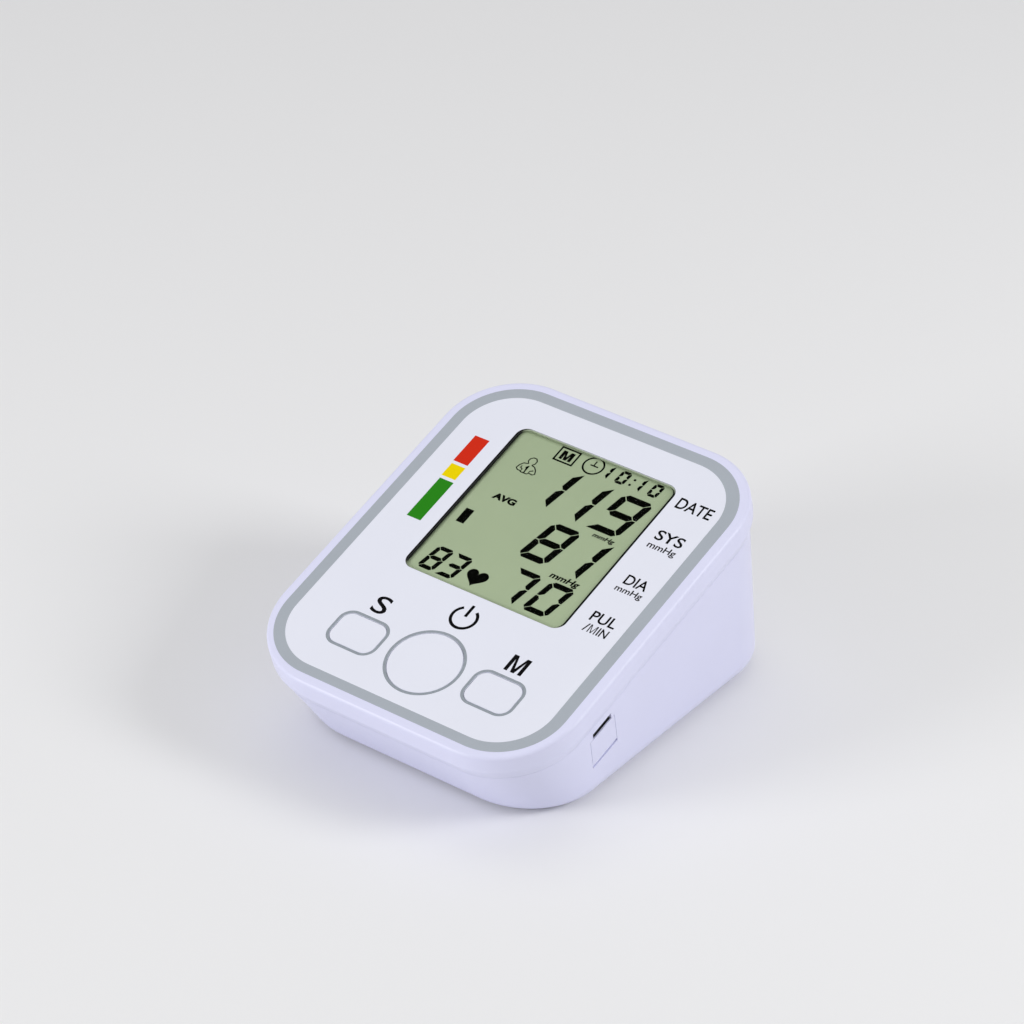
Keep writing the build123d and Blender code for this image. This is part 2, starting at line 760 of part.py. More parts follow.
# ---- battery door on its pin ----
with BuildPart() as battery_door:
    door_back_y = door_rear_y - door_clearance
    door_width = 2 * (door_half - door_clearance)
    with BuildSketch(Plane.XY.offset(foot_stand)):
        with Locations((0, (door_front_y + door_clearance + door_back_y) / 2)):
            Rectangle(door_width, door_back_y - door_front_y - door_clearance)
        with Locations((0, door_back_y)):
            Rectangle(door_notch_width, 2 * door_notch_depth, mode=Mode.SUBTRACT)
    extrude(amount=door_thickness)
    front_edges = battery_door.faces().sort_by(Axis.Y)[0].edges().filter_by(Axis.X)
    fillet(front_edges, door_thickness / 2 - hinge_clearance)
    with BuildSketch(Plane(origin=(0, door_pin_y, door_pin_z), z_dir=(1, 0, 0))):
        Circle(door_pin_radius + hinge_clearance)
    extrude(amount=door_width, both=True, mode=Mode.SUBTRACT)
battery_door.part.label = "battery_door"
export_step(battery_door.part, "parts/battery_door.step")

with BuildPart() as door_pin:
    with BuildSketch(Plane(origin=(0, door_pin_y, door_pin_z), z_dir=(1, 0, 0))):
        Circle(door_pin_radius)
    extrude(amount=door_half + door_pin_bite, both=True)
door_pin.part.label = "door_pin"
export_step(door_pin.part, "parts/door_pin.step")

# ---- cells side by side, every other one turned round, with a spring at each flat end ----
cell_xs = [(index - (cell_count - 1) / 2) * cell_pitch for index in range(cell_count)]
nub_front_y = box_front_y + contact_thickness
nub_rear_y = box_rear_y - contact_thickness


def facing_rear(x, y, turn):
    """Plane square to the cells at x and y, looking to the rear, or to the front if turned."""
    return Plane(origin=(x, y, cell_z), x_dir=(1, 0, 0), z_dir=(0, turn, 0))


with BuildPart() as battery_cells:
    for index, x in enumerate(cell_xs):
        turn = 1 if index % 2 == 0 else -1
        nub_y = nub_front_y if turn == 1 else nub_rear_y
        extrude(circles(facing_rear(x, nub_y, turn), [(0, 0)], cell_nub_radius), amount=cell_nub)
        body_plane = facing_rear(x, nub_y + turn * cell_nub, turn)
        extrude(circles(body_plane, [(0, 0)], cell_radius), amount=cell_length)
battery_cells.part.label = "battery_cells"
export_step(battery_cells.part, "parts/battery_cells.step")

with BuildPart() as battery_plates:
    for y in (box_front_y, nub_rear_y):
        with BuildSketch(Plane(origin=(0, y, cell_z), x_dir=(1, 0, 0), z_dir=(0, 1, 0))):
            with Locations(*[(x, 0) for x in cell_xs]):
                Rectangle(contact_width, contact_width)
        extrude(amount=contact_thickness)
battery_plates.part.label = "battery_plates"
export_step(battery_plates.part, "parts/battery_plates.step")

with BuildPart() as battery_springs:
    coil_height = spring_length - 2 * spring_wire - 2 * hinge_clearance
    for index, x in enumerate(cell_xs):
        turn = -1 if index % 2 == 0 else 1
        root_y = (nub_rear_y if turn == -1 else nub_front_y) + turn * (spring_wire + hinge_clearance)
        with BuildLine() as coil_line:
            Helix(spring_pitch, coil_height, spring_radius, center=(x, root_y, cell_z), direction=(0, turn, 0))
        with BuildSketch(Plane(origin=coil_line.line @ 0, z_dir=coil_line.line % 0)):
            Circle(spring_wire)
        sweep(path=coil_line.line, is_frenet=True)
battery_springs.part.label = "battery_springs"
export_step(battery_springs.part, "parts/battery_springs.step")

# ---- charging port: flap cut from the wall, its pin, the socket and its board ----
with BuildPart() as flap_rebate:
    add(tub(flap_lip_thickness))
    with BuildSketch(side_plane):
        with Locations((port_up, -flap_top)):
            Rectangle(flap_width + 2 * flap_gap, 2 * flap_lip_height)
    extrude(amount=lip_width, mode=Mode.INTERSECT)

with BuildPart() as port_cover:
    add(tub_shell)
    add(tub(flap_thickness), mode=Mode.SUBTRACT)
    add(flap_rebate.part, mode=Mode.SUBTRACT)
    with BuildSketch(side_plane):
        with Locations((port_up, -(flap_top + flap_axis_depth) / 2)):
            Rectangle(flap_width, flap_axis_depth - flap_top)
    extrude(amount=lip_width, mode=Mode.INTERSECT)
    flap_axis = [(flap_axis_x, flap_axis_depth)]
    extrude(circles(slope_level(port_up), flap_axis, flap_barrel_radius), amount=flap_width / 2, both=True)
    pin_bore = circles(slope_level(port_up), flap_axis, flap_pin_radius + hinge_clearance)
    extrude(pin_bore, amount=flap_width, both=True, mode=Mode.SUBTRACT)
port_cover.part.label = "port_cover"
export_step(port_cover.part, "parts/port_cover.step")

with BuildPart() as port_cover_pin:
    extrude(circles(slope_level(port_up), flap_axis, flap_pin_radius), amount=flap_pin_length / 2, both=True)
port_cover_pin.part.label = "port_cover_pin"
export_step(port_cover_pin.part, "parts/port_cover_pin.step")

with BuildPart() as port_socket:
    with BuildSketch(side_level(port_mouth_x)):
        with Locations((port_up, -port_depth)):
            Rectangle(socket_width, socket_height)
    extrude(amount=-socket_length)
    with BuildSketch(side_level(port_mouth_x)):
        with Locations((port_up, -port_depth)):
            Rectangle(socket_width - 2 * socket_wall, socket_height - 2 * socket_wall)
            Rectangle(socket_tongue_width, socket_tongue_thickness, mode=Mode.SUBTRACT)
    extrude(amount=-(socket_length - socket_back), mode=Mode.SUBTRACT)
port_socket.part.label = "port_socket"
export_step(port_socket.part, "parts/port_socket.step")

with BuildPart() as port_board:
    with BuildSketch(face_level(port_board_level)):
        with Locations((port_board_right - port_board_length / 2, port_up)):
            Rectangle(port_board_length, port_board_width)
    extrude(amount=-port_board_thickness)
port_board.part.label = "port_board"
export_step(port_board.part, "parts/port_board.step")

# ---- air pump: a motor can in a foam sleeve, and a head with a crank in it ----
centre = [(0, 0)]

with BuildPart() as pump_can:
    extrude(circles(across(can_left), centre, can_radius), amount=can_length)
    can_room = circles(across(can_left), centre, can_radius - can_wall)
    extrude(can_room, amount=can_length - can_wall, mode=Mode.SUBTRACT)
    can_bore = circles(across(can_left), centre, shaft_radius + shaft_clearance)
    extrude(can_bore, amount=can_length, mode=Mode.SUBTRACT)
pump_can.part.label = "pump_can"
export_step(pump_can.part, "parts/pump_can.step")

with BuildPart() as pump_bearing:
    extrude(circles(across(can_left), centre, can_radius - can_wall), amount=bearing_thickness)
    bearing_bore = circles(across(can_left), centre, shaft_radius + shaft_clearance)
    extrude(bearing_bore, amount=bearing_thickness, mode=Mode.SUBTRACT)
pump_bearing.part.label = "pump_bearing"
export_step(pump_bearing.part, "parts/pump_bearing.step")

magnet_left = (can_left + bearing_thickness + can_right - can_wall - magnet_length) / 2
magnet_bore = can_radius - can_wall - magnet_thickness

with BuildPart() as pump_magnets:
    with BuildSketch(across(magnet_left)):
        Circle(can_radius - can_wall)
        Circle(magnet_bore, mode=Mode.SUBTRACT)
        Rectangle(magnet_slot, 2 * can_radius, mode=Mode.SUBTRACT)
    extrude(amount=magnet_length)
pump_magnets.part.label = "pump_magnets"
export_step(pump_magnets.part, "parts/pump_magnets.step")

with BuildPart() as pump_armature:
    armature_left = can_left + bearing_thickness + armature_end_gap
    armature_right = can_right - can_wall - armature_end_gap
    with BuildSketch(across(armature_left)):
        Circle(magnet_bore - magnet_air_gap)
        Circle(shaft_radius, mode=Mode.SUBTRACT)
    extrude(amount=armature_right - armature_left)
pump_armature.part.label = "pump_armature"
export_step(pump_armature.part, "parts/pump_armature.step")

with BuildPart() as pump_crank:
    crank_left = can_left - head_wall - crank_inset - crank_thickness
    with BuildSketch(across(crank_left)):
        with Locations((crank_throw, 0)):
            Circle(crank_radius)
        Circle(shaft_radius, mode=Mode.SUBTRACT)
    extrude(amount=crank_thickness)
pump_crank.part.label = "pump_crank"
export_step(pump_crank.part, "parts/pump_crank.step")

with BuildPart() as pump_shaft:
    shaft_left = crank_left - shaft_overhang
    shaft_length = can_right + shaft_overhang - shaft_left
    extrude(circles(across(shaft_left), centre, shaft_radius), amount=shaft_length)
pump_shaft.part.label = "pump_shaft"
export_step(pump_shaft.part, "parts/pump_shaft.step")

with BuildPart() as pump_head:
    extrude(circles(across(head_left), centre, head_radius), amount=head_length)
    nozzle_spot = [(air_x, air_depth)]
    nozzle_up = pump_up - head_radius - pump_nozzle
    extrude(circles(slope_level(nozzle_up), nozzle_spot, nozzle_radius), amount=pump_nozzle + head_wall)
    chamber = circles(across(head_left + head_wall), centre, head_radius - head_wall)
    extrude(chamber, amount=head_length - 2 * head_wall, mode=Mode.SUBTRACT)
    head_bore = circles(across(can_left), centre, shaft_radius + shaft_clearance)
    extrude(head_bore, amount=-head_wall, mode=Mode.SUBTRACT)
    extrude(circles(slope_level(nozzle_up), nozzle_spot, nozzle_bore), amount=head_radius, mode=Mode.SUBTRACT)
pump_head.part.label = "pump_head"
export_step(pump_head.part, "parts/pump_head.step")

with BuildPart() as pump_sleeve:
    with BuildSketch(across(can_middle - sleeve_length / 2)):
        Circle(can_radius + sleeve_thickness)
        Circle(can_radius, mode=Mode.SUBTRACT)
    extrude(amount=sleeve_length)
pump_sleeve.part.label = "pump_sleeve"
export_step(pump_sleeve.part, "parts/pump_sleeve.step")

# ---- cuff socket in the left-hand wall ----
with BuildPart() as cuff_socket:
    barrel_length = cuff_bore_length + cuff_socket_end
    extrude(circles(side_level(cuff_mouth_x), cuff_spot, cuff_socket_radius), amount=barrel_length)
    extrude(circles(side_level(cuff_flange_x), cuff_spot, cuff_flange_radius), amount=cuff_flange_thickness)
    extrude(circles(side_level(cuff_barrel_end), cuff_spot, nozzle_radius), amount=cuff_nozzle)
    cuff_bore = circles(side_level(cuff_mouth_x), cuff_spot, cuff_bore_radius)
    extrude(cuff_bore, amount=cuff_bore_length, mode=Mode.SUBTRACT)
    through = circles(side_level(cuff_mouth_x), cuff_spot, nozzle_bore)
    extrude(through, amount=barrel_length + cuff_nozzle, mode=Mode.SUBTRACT)
cuff_socket.part.label = "cuff_socket"
export_step(cuff_socket.part, "parts/cuff_socket.step")

# ---- manifold: a block with a nozzle to the cuff, the pump, the valve and the sensor ----
half_block = manifold_size / 2
air_spot = [(air_x, air_up)]
cross_spot = [(air_x, air_depth)]
nozzle_reach = half_block + manifold_nozzle

with BuildPart() as air_manifold:
    with BuildSketch(face_level(air_depth - half_block)):
        with Locations(*air_spot):
            Rectangle(manifold_size, manifold_size)
    extrude(amount=-manifold_size)
    extrude(circles(side_level(air_x), cuff_spot, nozzle_radius), amount=-nozzle_reach)
    extrude(circles(slope_level(air_up), cross_spot, nozzle_radius), amount=nozzle_reach, both=True)
    extrude(circles(face_level(air_depth), air_spot, nozzle_radius), amount=nozzle_reach)
    extrude(circles(side_level(air_x), cuff_spot, nozzle_bore), amount=-nozzle_reach, mode=Mode.SUBTRACT)
    passage = circles(slope_level(air_up), cross_spot, nozzle_bore)
    extrude(passage, amount=nozzle_reach, both=True, mode=Mode.SUBTRACT)
    extrude(circles(face_level(air_depth), air_spot, nozzle_bore), amount=nozzle_reach, mode=Mode.SUBTRACT)
air_manifold.part.label = "air_manifold"
export_step(air_manifold.part, "parts/air_manifold.step")

# ---- pressure sensor on the board, over the manifold ----
sensor_bottom = board_bottom + sensor_height

with BuildPart() as pressure_sensor:
    with BuildSketch(face_level(board_bottom)):
        with Locations(*air_spot):
            Rectangle(sensor_width, sensor_width)
    extrude(amount=-sensor_height)
    extrude(circles(face_level(sensor_bottom), air_spot, nozzle_radius), amount=-sensor_nozzle)
    sensor_mouth = circles(face_level(sensor_bottom + sensor_nozzle), air_spot, nozzle_bore)
    extrude(sensor_mouth, amount=sensor_nozzle, mode=Mode.SUBTRACT)
pressure_sensor.part.label = "pressure_sensor"
export_step(pressure_sensor.part, "parts/pressure_sensor.step")

# ---- deflation valve: a solenoid body with a sliding plunger ----
with BuildPart() as valve_body:
    extrude(circles(slope_level(valve_top), cross_spot, valve_radius), amount=-valve_length)
    extrude(circles(slope_level(valve_top), cross_spot, nozzle_radius), amount=valve_nozzle)
    plunger_bore = circles(slope_level(valve_end), cross_spot, plunger_radius + plunger_clearance)
    bore_length = plunger_length - plunger_overhang + plunger_travel + plunger_stop_gap
    extrude(plunger_bore, amount=bore_length, mode=Mode.SUBTRACT)
    air_bore = circles(slope_level(valve_end), cross_spot, nozzle_bore)
    extrude(air_bore, amount=valve_length + valve_nozzle, mode=Mode.SUBTRACT)
valve_body.part.label = "valve_body"
export_step(valve_body.part, "parts/valve_body.step")

with BuildPart() as valve_plunger:
    plunger_start = slope_level(valve_end - plunger_overhang)
    extrude(circles(plunger_start, cross_spot, plunger_radius), amount=plunger_length)
valve_plunger.part.label = "valve_plunger"
export_step(valve_plunger.part, "parts/valve_plunger.step")


# ---- silicone tubes, pushed over the nozzles ----
def tube_section(plane, spot):
    with BuildSketch(plane) as section:
        with Locations(*spot):
            Circle(nozzle_radius + tube_wall)
            Circle(nozzle_radius, mode=Mode.SUBTRACT)
    return section.sketch


with BuildPart() as air_tubes:
    cuff_tube_start = cuff_barrel_end + tube_end_gap
    cuff_tube_end = air_x - half_block - tube_end_gap
    extrude(tube_section(side_level(cuff_tube_start), cuff_spot), amount=cuff_tube_end - cuff_tube_start)
    pump_tube_start = air_up + half_block + tube_end_gap
    pump_tube_end = pump_up - head_radius - tube_end_gap
    extrude(tube_section(slope_level(pump_tube_start), cross_spot), amount=pump_tube_end - pump_tube_start)
    valve_tube_start = valve_top + tube_end_gap
    valve_tube_end = air_up - half_block - tube_end_gap
    extrude(tube_section(slope_level(valve_tube_start), cross_spot), amount=valve_tube_end - valve_tube_start)
    sensor_tube_start = air_depth - half_block - tube_end_gap
    sensor_tube_end = sensor_bottom + tube_end_gap
    extrude(tube_section(face_level(sensor_tube_start), air_spot), amount=sensor_tube_start - sensor_tube_end)
air_tubes.part.label = "air_tubes"
export_step(air_tubes.part, "parts/air_tubes.step")
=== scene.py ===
import math

import bmesh
import bpy
from mathutils import Matrix, Vector


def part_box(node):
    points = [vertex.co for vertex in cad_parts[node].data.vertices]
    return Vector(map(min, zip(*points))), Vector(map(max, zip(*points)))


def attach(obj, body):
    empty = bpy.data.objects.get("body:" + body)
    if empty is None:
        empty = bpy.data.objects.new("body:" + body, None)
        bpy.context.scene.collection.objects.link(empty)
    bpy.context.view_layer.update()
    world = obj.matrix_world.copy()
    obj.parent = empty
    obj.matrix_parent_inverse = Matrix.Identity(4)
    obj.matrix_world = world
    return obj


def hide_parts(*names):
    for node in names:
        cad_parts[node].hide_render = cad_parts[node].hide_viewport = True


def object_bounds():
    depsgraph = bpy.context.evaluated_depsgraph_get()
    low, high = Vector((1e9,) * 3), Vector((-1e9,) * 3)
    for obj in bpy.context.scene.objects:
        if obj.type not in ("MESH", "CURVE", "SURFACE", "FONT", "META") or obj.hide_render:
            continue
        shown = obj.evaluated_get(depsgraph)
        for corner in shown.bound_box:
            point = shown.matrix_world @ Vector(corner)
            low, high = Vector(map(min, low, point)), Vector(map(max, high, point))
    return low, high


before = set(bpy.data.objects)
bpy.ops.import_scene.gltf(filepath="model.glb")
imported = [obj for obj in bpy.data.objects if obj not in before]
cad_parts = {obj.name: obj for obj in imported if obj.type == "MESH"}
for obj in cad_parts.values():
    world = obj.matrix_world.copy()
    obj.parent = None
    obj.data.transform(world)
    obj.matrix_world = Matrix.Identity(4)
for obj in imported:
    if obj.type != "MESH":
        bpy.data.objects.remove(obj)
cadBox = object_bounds()
print("frame loaded,", len(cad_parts), "nodes")

mm = 0.001

# the sloping face: right, up the slope and straight out, from the middle of the printed panel
faceTilt = math.radians(18)
panelDepth = 0.8
faceRight = Vector((1, 0, 0))
faceUp = Vector((0, math.cos(faceTilt), math.sin(faceTilt)))
faceOut = Vector((0, -math.sin(faceTilt), math.cos(faceTilt)))
panelLow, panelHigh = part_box("face_panel")
faceMiddle = (panelLow + panelHigh) / 2 + faceOut * (panelDepth / 2 * mm)

# drawing places: forms are drawn in millimetres and moved to metres by one of these
inWorld = Matrix.Scale(mm, 4)


def drawingPlace(*axes):
    return Matrix.Translation(faceMiddle) @ Matrix(axes).transposed().to_4x4() @ inWorld


onPanel = drawingPlace(faceRight, faceUp, faceOut)
# in the right-hand wall: depth below the face, then up the slope, then out to the right
inWall = drawingPlace(-faceOut, faceUp, faceRight)


def placed(name, data):
    made = bpy.data.objects.new(name, data)
    bpy.context.scene.collection.objects.link(made)
    return made


# camera: its place and axes are in the face's own directions
view = {
    "place": (535.3, -534.9, 795.8),
    "right": (0.80500, 0.57269, -0.15494),
    "down": (0.33328, -0.65258, -0.68049),
    "lens": 139.937, "sensor": 36.0, "clip": (0.05, 20.0),
}


def makeCamera():
    data = bpy.data.cameras.new("camera")
    data.lens = view["lens"]
    data.sensor_width = view["sensor"]
    data.clip_start, data.clip_end = view["clip"]
    camera = placed("camera", data)
    faceTurn = onPanel.to_3x3().normalized()
    across = (faceTurn @ Vector(view["right"])).normalized()
    upward = -(faceTurn @ Vector(view["down"])).normalized()
    back = across.cross(upward).normalized()
    turn = Matrix((across, back.cross(across), back)).transposed()
    camera.matrix_world = Matrix.Translation(onPanel @ Vector(view["place"])) @ turn.to_4x4()
    bpy.context.scene.camera = camera


makeCamera()
print("camera placed")


# node trees
def operator(operation, reflected=False):
    def work(wire, other):
        return wire.owner.sum(operation, *((other, wire) if reflected else (wire, other)))
    return work


class Wire:
    # one output socket of a node tree, so that 1 - mask can be written as it reads
    def __init__(self, owner, socket):
        self.owner = owner
        self.socket = socket

    __add__ = operator("ADD")
    __radd__ = operator("ADD", True)
    __sub__ = operator("SUBTRACT")
    __rsub__ = operator("SUBTRACT", True)
    __mul__ = operator("MULTIPLY")
    __rmul__ = operator("MULTIPLY", True)
    __gt__ = operator("GREATER_THAN")
    __lt__ = operator("LESS_THAN")


class Nodes:
    # a node tree, in which one method makes every node
    def __init__(self, tree):
        self.tree = tree

    def feed(self, socket, value):
        if isinstance(value, Wire):
            self.tree.links.new(value.socket, socket)
        else:
            socket.default_value = value

    def node(self, kind, settings=None, sockets=None, out=0):
        made = self.tree.nodes.new(kind)
        for label, value in (settings or {}).items():
            setattr(made, label, value)
        for label, value in (sockets or {}).items():
            self.feed(made.inputs[label], value)
        return Wire(self, made.outputs[out])

    def sum(self, operation, first, second=0.0):
        return self.node("ShaderNodeMath", {"operation": operation}, {0: first, 1: second})

    def spread(self, value, low, high, outLow=0.0, outHigh=1.0):
        sockets = {0: value, 1: low, 2: high, 3: outLow, 4: outHigh}
        return self.node("ShaderNodeMapRange", {"clamp": True}, sockets)


class Finish(Nodes):
    # a material with a Principled shader, and the nodes that drive it
    def __init__(self, name, color, **plain):
        self.material = bpy.data.materials.new(name)
        self.material.use_nodes = True
        self.material.diffuse_color = color
        super().__init__(self.material.node_tree)
        self.shader = self.tree.nodes["Principled BSDF"]
        self.set("Base Color", color)
        for label, value in plain.items():
            self.set(label.replace("_", " "), value)
        self.place = None

    def set(self, label, value):
        self.feed(self.shader.inputs[label], value)

    def where(self):
        if self.place is None:
            self.place = self.node("ShaderNodeTexCoord", out=3)
        return self.place

    def axis(self, index):
        return self.node("ShaderNodeSeparateXYZ", None, {0: self.where()}, out=index)

    def noise(self, scale, detail=2.0, roughness=0.5, along=None):
        # along, where given, stretches the pattern by its size in X, Y and Z
        where = self.where()
        if along:
            stretch = {"Vector": where, "Scale": along}
            where = self.node("ShaderNodeMapping", {"vector_type": "TEXTURE"}, stretch)
        sockets = {"Vector": where, "Scale": scale, "Detail": detail, "Roughness": roughness}
        return self.node("ShaderNodeTexNoise", None, sockets)

    def cells(self, scale, **more):
        sockets = {"Vector": self.where(), "Scale": scale, **more}
        return self.node("ShaderNodeTexVoronoi", {"feature": "F1"}, sockets)

    def bands(self, scale, direction="X", **more):
        settings = {"wave_type": "BANDS", "bands_direction": direction}
        return self.node("ShaderNodeTexWave", settings, {"Vector": self.where(), "Scale": scale, **more})

    def blend(self, factor, first, second):
        sockets = {0: factor, 6: first, 7: second}
        return self.node("ShaderNodeMix", {"data_type": "RGBA"}, sockets, out=2)

    def paint(self, factor, first, second):
        self.set("Base Color", self.blend(factor, first, second))

    def bump(self, height, strength, distance):
        sockets = {"Height": height, "Strength": strength, "Distance": distance}
        self.set("Normal", self.node("ShaderNodeBump", None, sockets))

    def gloss(self, pattern, smooth, rough, low=0.3, high=0.7):
        self.set("Roughness", self.spread(pattern, low, high, smooth, rough))


def tone(red, green, blue):
    # a colour given as 0 to 255 on screen
    def straight(value):
        share = value / 255
        return share / 12.92 if share <= 0.04045 else ((share + 0.055) / 1.055) ** 2.4
    return (straight(red), straight(green), straight(blue), 1.0)


def darker(color, share):
    return tuple(part * share for part in color[:3]) + (1.0,)


# finishes; every length in them is in metres
def grained(name, color, noise, first, second, gloss, relief=None, cover=(0.3, 0.7), **plain):
    # one noise pattern varies the colour, the gloss and the relief, given as strength and depth
    finish = Finish(name, color, **plain)
    pattern = finish.noise(*noise)
    finish.paint(finish.spread(pattern, *cover), first, second)
    finish.gloss(pattern, *gloss)
    if relief:
        finish.bump(pattern, *relief)
    return finish


def flatInk(name, color, gloss=0.40):
    # screen printed ink: dense, with a faint mesh of the screen in its gloss
    ends = (gloss - 0.05, gloss + 0.05)
    plain = {"Specular_IOR_Level": 0.03}
    return grained(name, color, (2600.0, 3.0), darker(color, 0.92), color, ends, (0.12, 0.00001), **plain)


def brushedMetal(name, color, gloss, along=(1.0, 0.06, 1.0)):
    noise = (260.0, 5.0, 0.5, along)
    ends = (gloss - 0.07, gloss + 0.09)
    return grained(name, color, noise, darker(color, 0.86), color, ends, (0.15, 0.00002), Metallic=1.0)


def rubberFinish(name, color):
    return grained(name, color, (1900.0, 4.0, 0.65), darker(color, 0.8), color, (0.72, 0.9), (0.35, 0.00004))


def shrinkFilm(name, color):
    # film over a steel can: lengthwise sheen, partly painted into the colour as lighter and darker streaks
    # and partly in the gloss, and faint creases
    noise = (900.0, 3.0, 0.5, (1.0, 12.0, 1.0))
    film = {"Coat_Weight": 0.4, "Coat_Roughness": 0.15}
    return grained(name, color, noise, darker(color, 0.85), color, (0.3, 0.4), (0.2, 0.00002), **film)


def mouldedPlastic(name, color, gloss, grain=0.14, cloud=0.97):
    # soft clouding of the colour, a fine spark grain and slightly uneven gloss
    finish = Finish(name, color)
    clouding = finish.spread(finish.noise(38.0, 3.0), 0.35, 0.65)
    finish.paint(clouding, darker(color, cloud), color)
    finish.gloss(finish.noise(420.0, 4.0), gloss - 0.03, gloss + 0.03)
    finish.bump(finish.noise(1800.0), grain, 0.00002)
    return finish


def silverPaint():
    # the band round the panel: grey paint with fine metal flakes in it
    color = tone(160, 167, 176)
    finish = Finish("silverPaint", color)
    flakes = finish.cells(9000.0)
    spark = finish.spread(flakes, 0.1, 0.7, 1.0, 0.0)
    cloud = finish.spread(finish.noise(60.0, 3.0), 0.3, 0.7)
    base = finish.blend(cloud, darker(color, 0.96), color)
    finish.paint(spark * 0.22, base, tone(190, 196, 204))
    finish.gloss(spark, 0.46, 0.34, 0.0, 1.0)
    finish.set("Metallic", spark * 0.25)
    finish.bump(flakes, 0.08, 0.00001)
    return finish


# how far from each end of the window's gasket its painted light starts and is full
gasketLitEnds = (0.0019, 0.0007)


def gasketRubber():
    # black along both sides of the window, and greyer across its ends, where painted light stands in for the
    # lit walls of the recess
    black = tone(16, 17, 17)
    finish = Finish("gasketRubber", black)
    low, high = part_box("window_gasket")
    middle, reach = (low.y + high.y) / 2, (high.y - low.y) / 2
    fromMiddle = finish.sum("ABSOLUTE", finish.axis(1) - middle)
    ends = finish.spread(fromMiddle, reach - gasketLitEnds[0], reach - gasketLitEnds[1])
    pores = finish.spread(finish.noise(1900.0, 4.0, 0.65), 0.3, 0.7)
    # the pale grey-green of the ends is painted light
    color = finish.blend(ends, black, tone(168, 182, 152))
    finish.paint(pores * 0.2, color, tone(30, 32, 30))
    finish.gloss(pores, 0.72, 0.9, 0.0, 1.0)
    finish.bump(pores, 0.2, 0.00002)
    return finish


# the black print round the window and the painted shadow along its left side, in millimetres; insets are
# from the left, right, front and rear
lensPrint = {
    # the border on the lens: how far in it starts, its width on each side, its depth and thickness
    "margin": 0.37,
    "width": (0.05, 0.46, 0.05, 0.03),
    "depth": 0.35,
    "ink": 0.015,
    # the painted shadow along its left side, laid on the lens as black ink: where it is full and where it
    # has faded out
    "shadowFade": (-26.4, -25.6),
    "fadeInk": 0.008,
    # the line round the opening: its outer and inner edge, and how far it turns down
    "edge": (-0.22, -0.02, -0.02, -0.1),
    "lining": (0.03, -0.01, -0.01, -0.01),
    "liningDepth": 0.14,
}


def paintedShadowFinish():
    # painted shadow: black ink that thins out to nothing away from the left edge of the lens, in place of
    # the shade of the recess wall
    finish = Finish("fadeInk", tone(8, 9, 8), Specular_IOR_Level=0.05)
    start, end = lensPrint["shadowFade"]
    finish.set("Alpha", finish.spread(finish.axis(0), start * mm, end * mm, 1.0, 0.0))
    finish.gloss(finish.noise(900.0), 0.4, 0.55)
    return finish


def displayGlass():
    # grey-green polariser: fine lines at 45 degrees, a sheen painted into the colour as slightly darker
    # lines with matching relief, and a slow change of tone up the display
    finish = Finish("displayGlass", tone(164, 180, 145), Specular_IOR_Level=0.3)
    low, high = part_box("lcd_glass")
    rise = finish.spread(finish.axis(1), low.y, high.y)
    turn = {"Vector": finish.where(), "Rotation": (0.0, 0.0, math.radians(45))}
    turned = finish.node("ShaderNodeMapping", {"vector_type": "POINT"}, turn)
    lines = finish.bands(1500.0, Vector=turned, Distortion=1.5, Detail=2.0)
    cloud = finish.spread(finish.noise(70.0, 3.0), 0.3, 0.7)
    base = finish.blend(rise, tone(171, 187, 152), tone(164, 180, 145))
    base = finish.blend(cloud * 0.35, base, tone(159, 176, 142))
    finish.paint(lines * 0.06, base, tone(120, 134, 110))
    finish.gloss(finish.noise(600.0), 0.30, 0.40)
    finish.bump(lines, 0.03, 0.000005)
    return finish


def clearLens():
    # thin clear acrylic: nearly all of it lets light through, with hairline scratches in its gloss
    finish = Finish("clearLens", tone(30, 32, 30), Alpha=0.02, IOR=1.49, Specular_IOR_Level=0.2)
    finish.gloss(finish.bands(90.0, Distortion=16.0, Detail=4.0), 0.06, 0.22, 0.96, 1.0)
    return finish


def circuitBoard():
    # green solder mask with copper tracks showing through it as lighter lines, and tinned pads
    mask = tone(24, 96, 48)
    finish = Finish("circuitBoard", mask)
    settings = {"offset": 0.35, "offset_frequency": 2, "squash": 1.6, "squash_frequency": 3}
    sockets = {"Vector": finish.where(), "Scale": 210.0, "Mortar Size": 0.03, "Mortar Smooth": 0.2}
    sockets.update({"Brick Width": 0.9, "Row Height": 0.3})
    grid = finish.node("ShaderNodeTexBrick", settings, sockets, out=1)
    pads = finish.cells(330.0, Randomness=0.85) < 0.16
    tracked = finish.blend(grid * 0.55, mask, tone(60, 142, 78))
    finish.paint(pads, tracked, tone(196, 190, 172))
    finish.set("Metallic", pads * 0.9)
    finish.set("Roughness", finish.spread(finish.noise(500.0), 0.3, 0.7, 0.28, 0.4) + pads * 0.1)
    finish.bump(grid + pads, 0.25, 0.00003)
    return finish


def copperWinding():
    # enamelled wire wound along the rotor, between grey stacks of sheet steel
    finish = Finish("copperWinding", tone(186, 104, 58), Metallic=0.9)
    wire = finish.bands(620.0, "Y", Distortion=0.6)
    stack = finish.bands(40.0) > 0.55
    # the copper is painted darker between the turns of wire: painted shade in the grooves
    copper = finish.blend(wire, tone(120, 58, 28), tone(200, 118, 66))
    finish.paint(stack, copper, tone(150, 152, 156))
    finish.gloss(wire, 0.5, 0.25, 0.0, 1.0)
    finish.bump(wire, 0.5, 0.00005)
    return finish


def foamRubber():
    finish = Finish("foamRubber", tone(54, 55, 58))
    cells = finish.cells(1300.0)
    # the pits of the foam are painted darker: painted shade in them
    finish.paint(cells, tone(30, 31, 33), tone(74, 75, 78))
    finish.gloss(cells, 0.95, 0.8, 0.0, 0.8)
    finish.bump(cells, 0.8, 0.0001)
    return finish


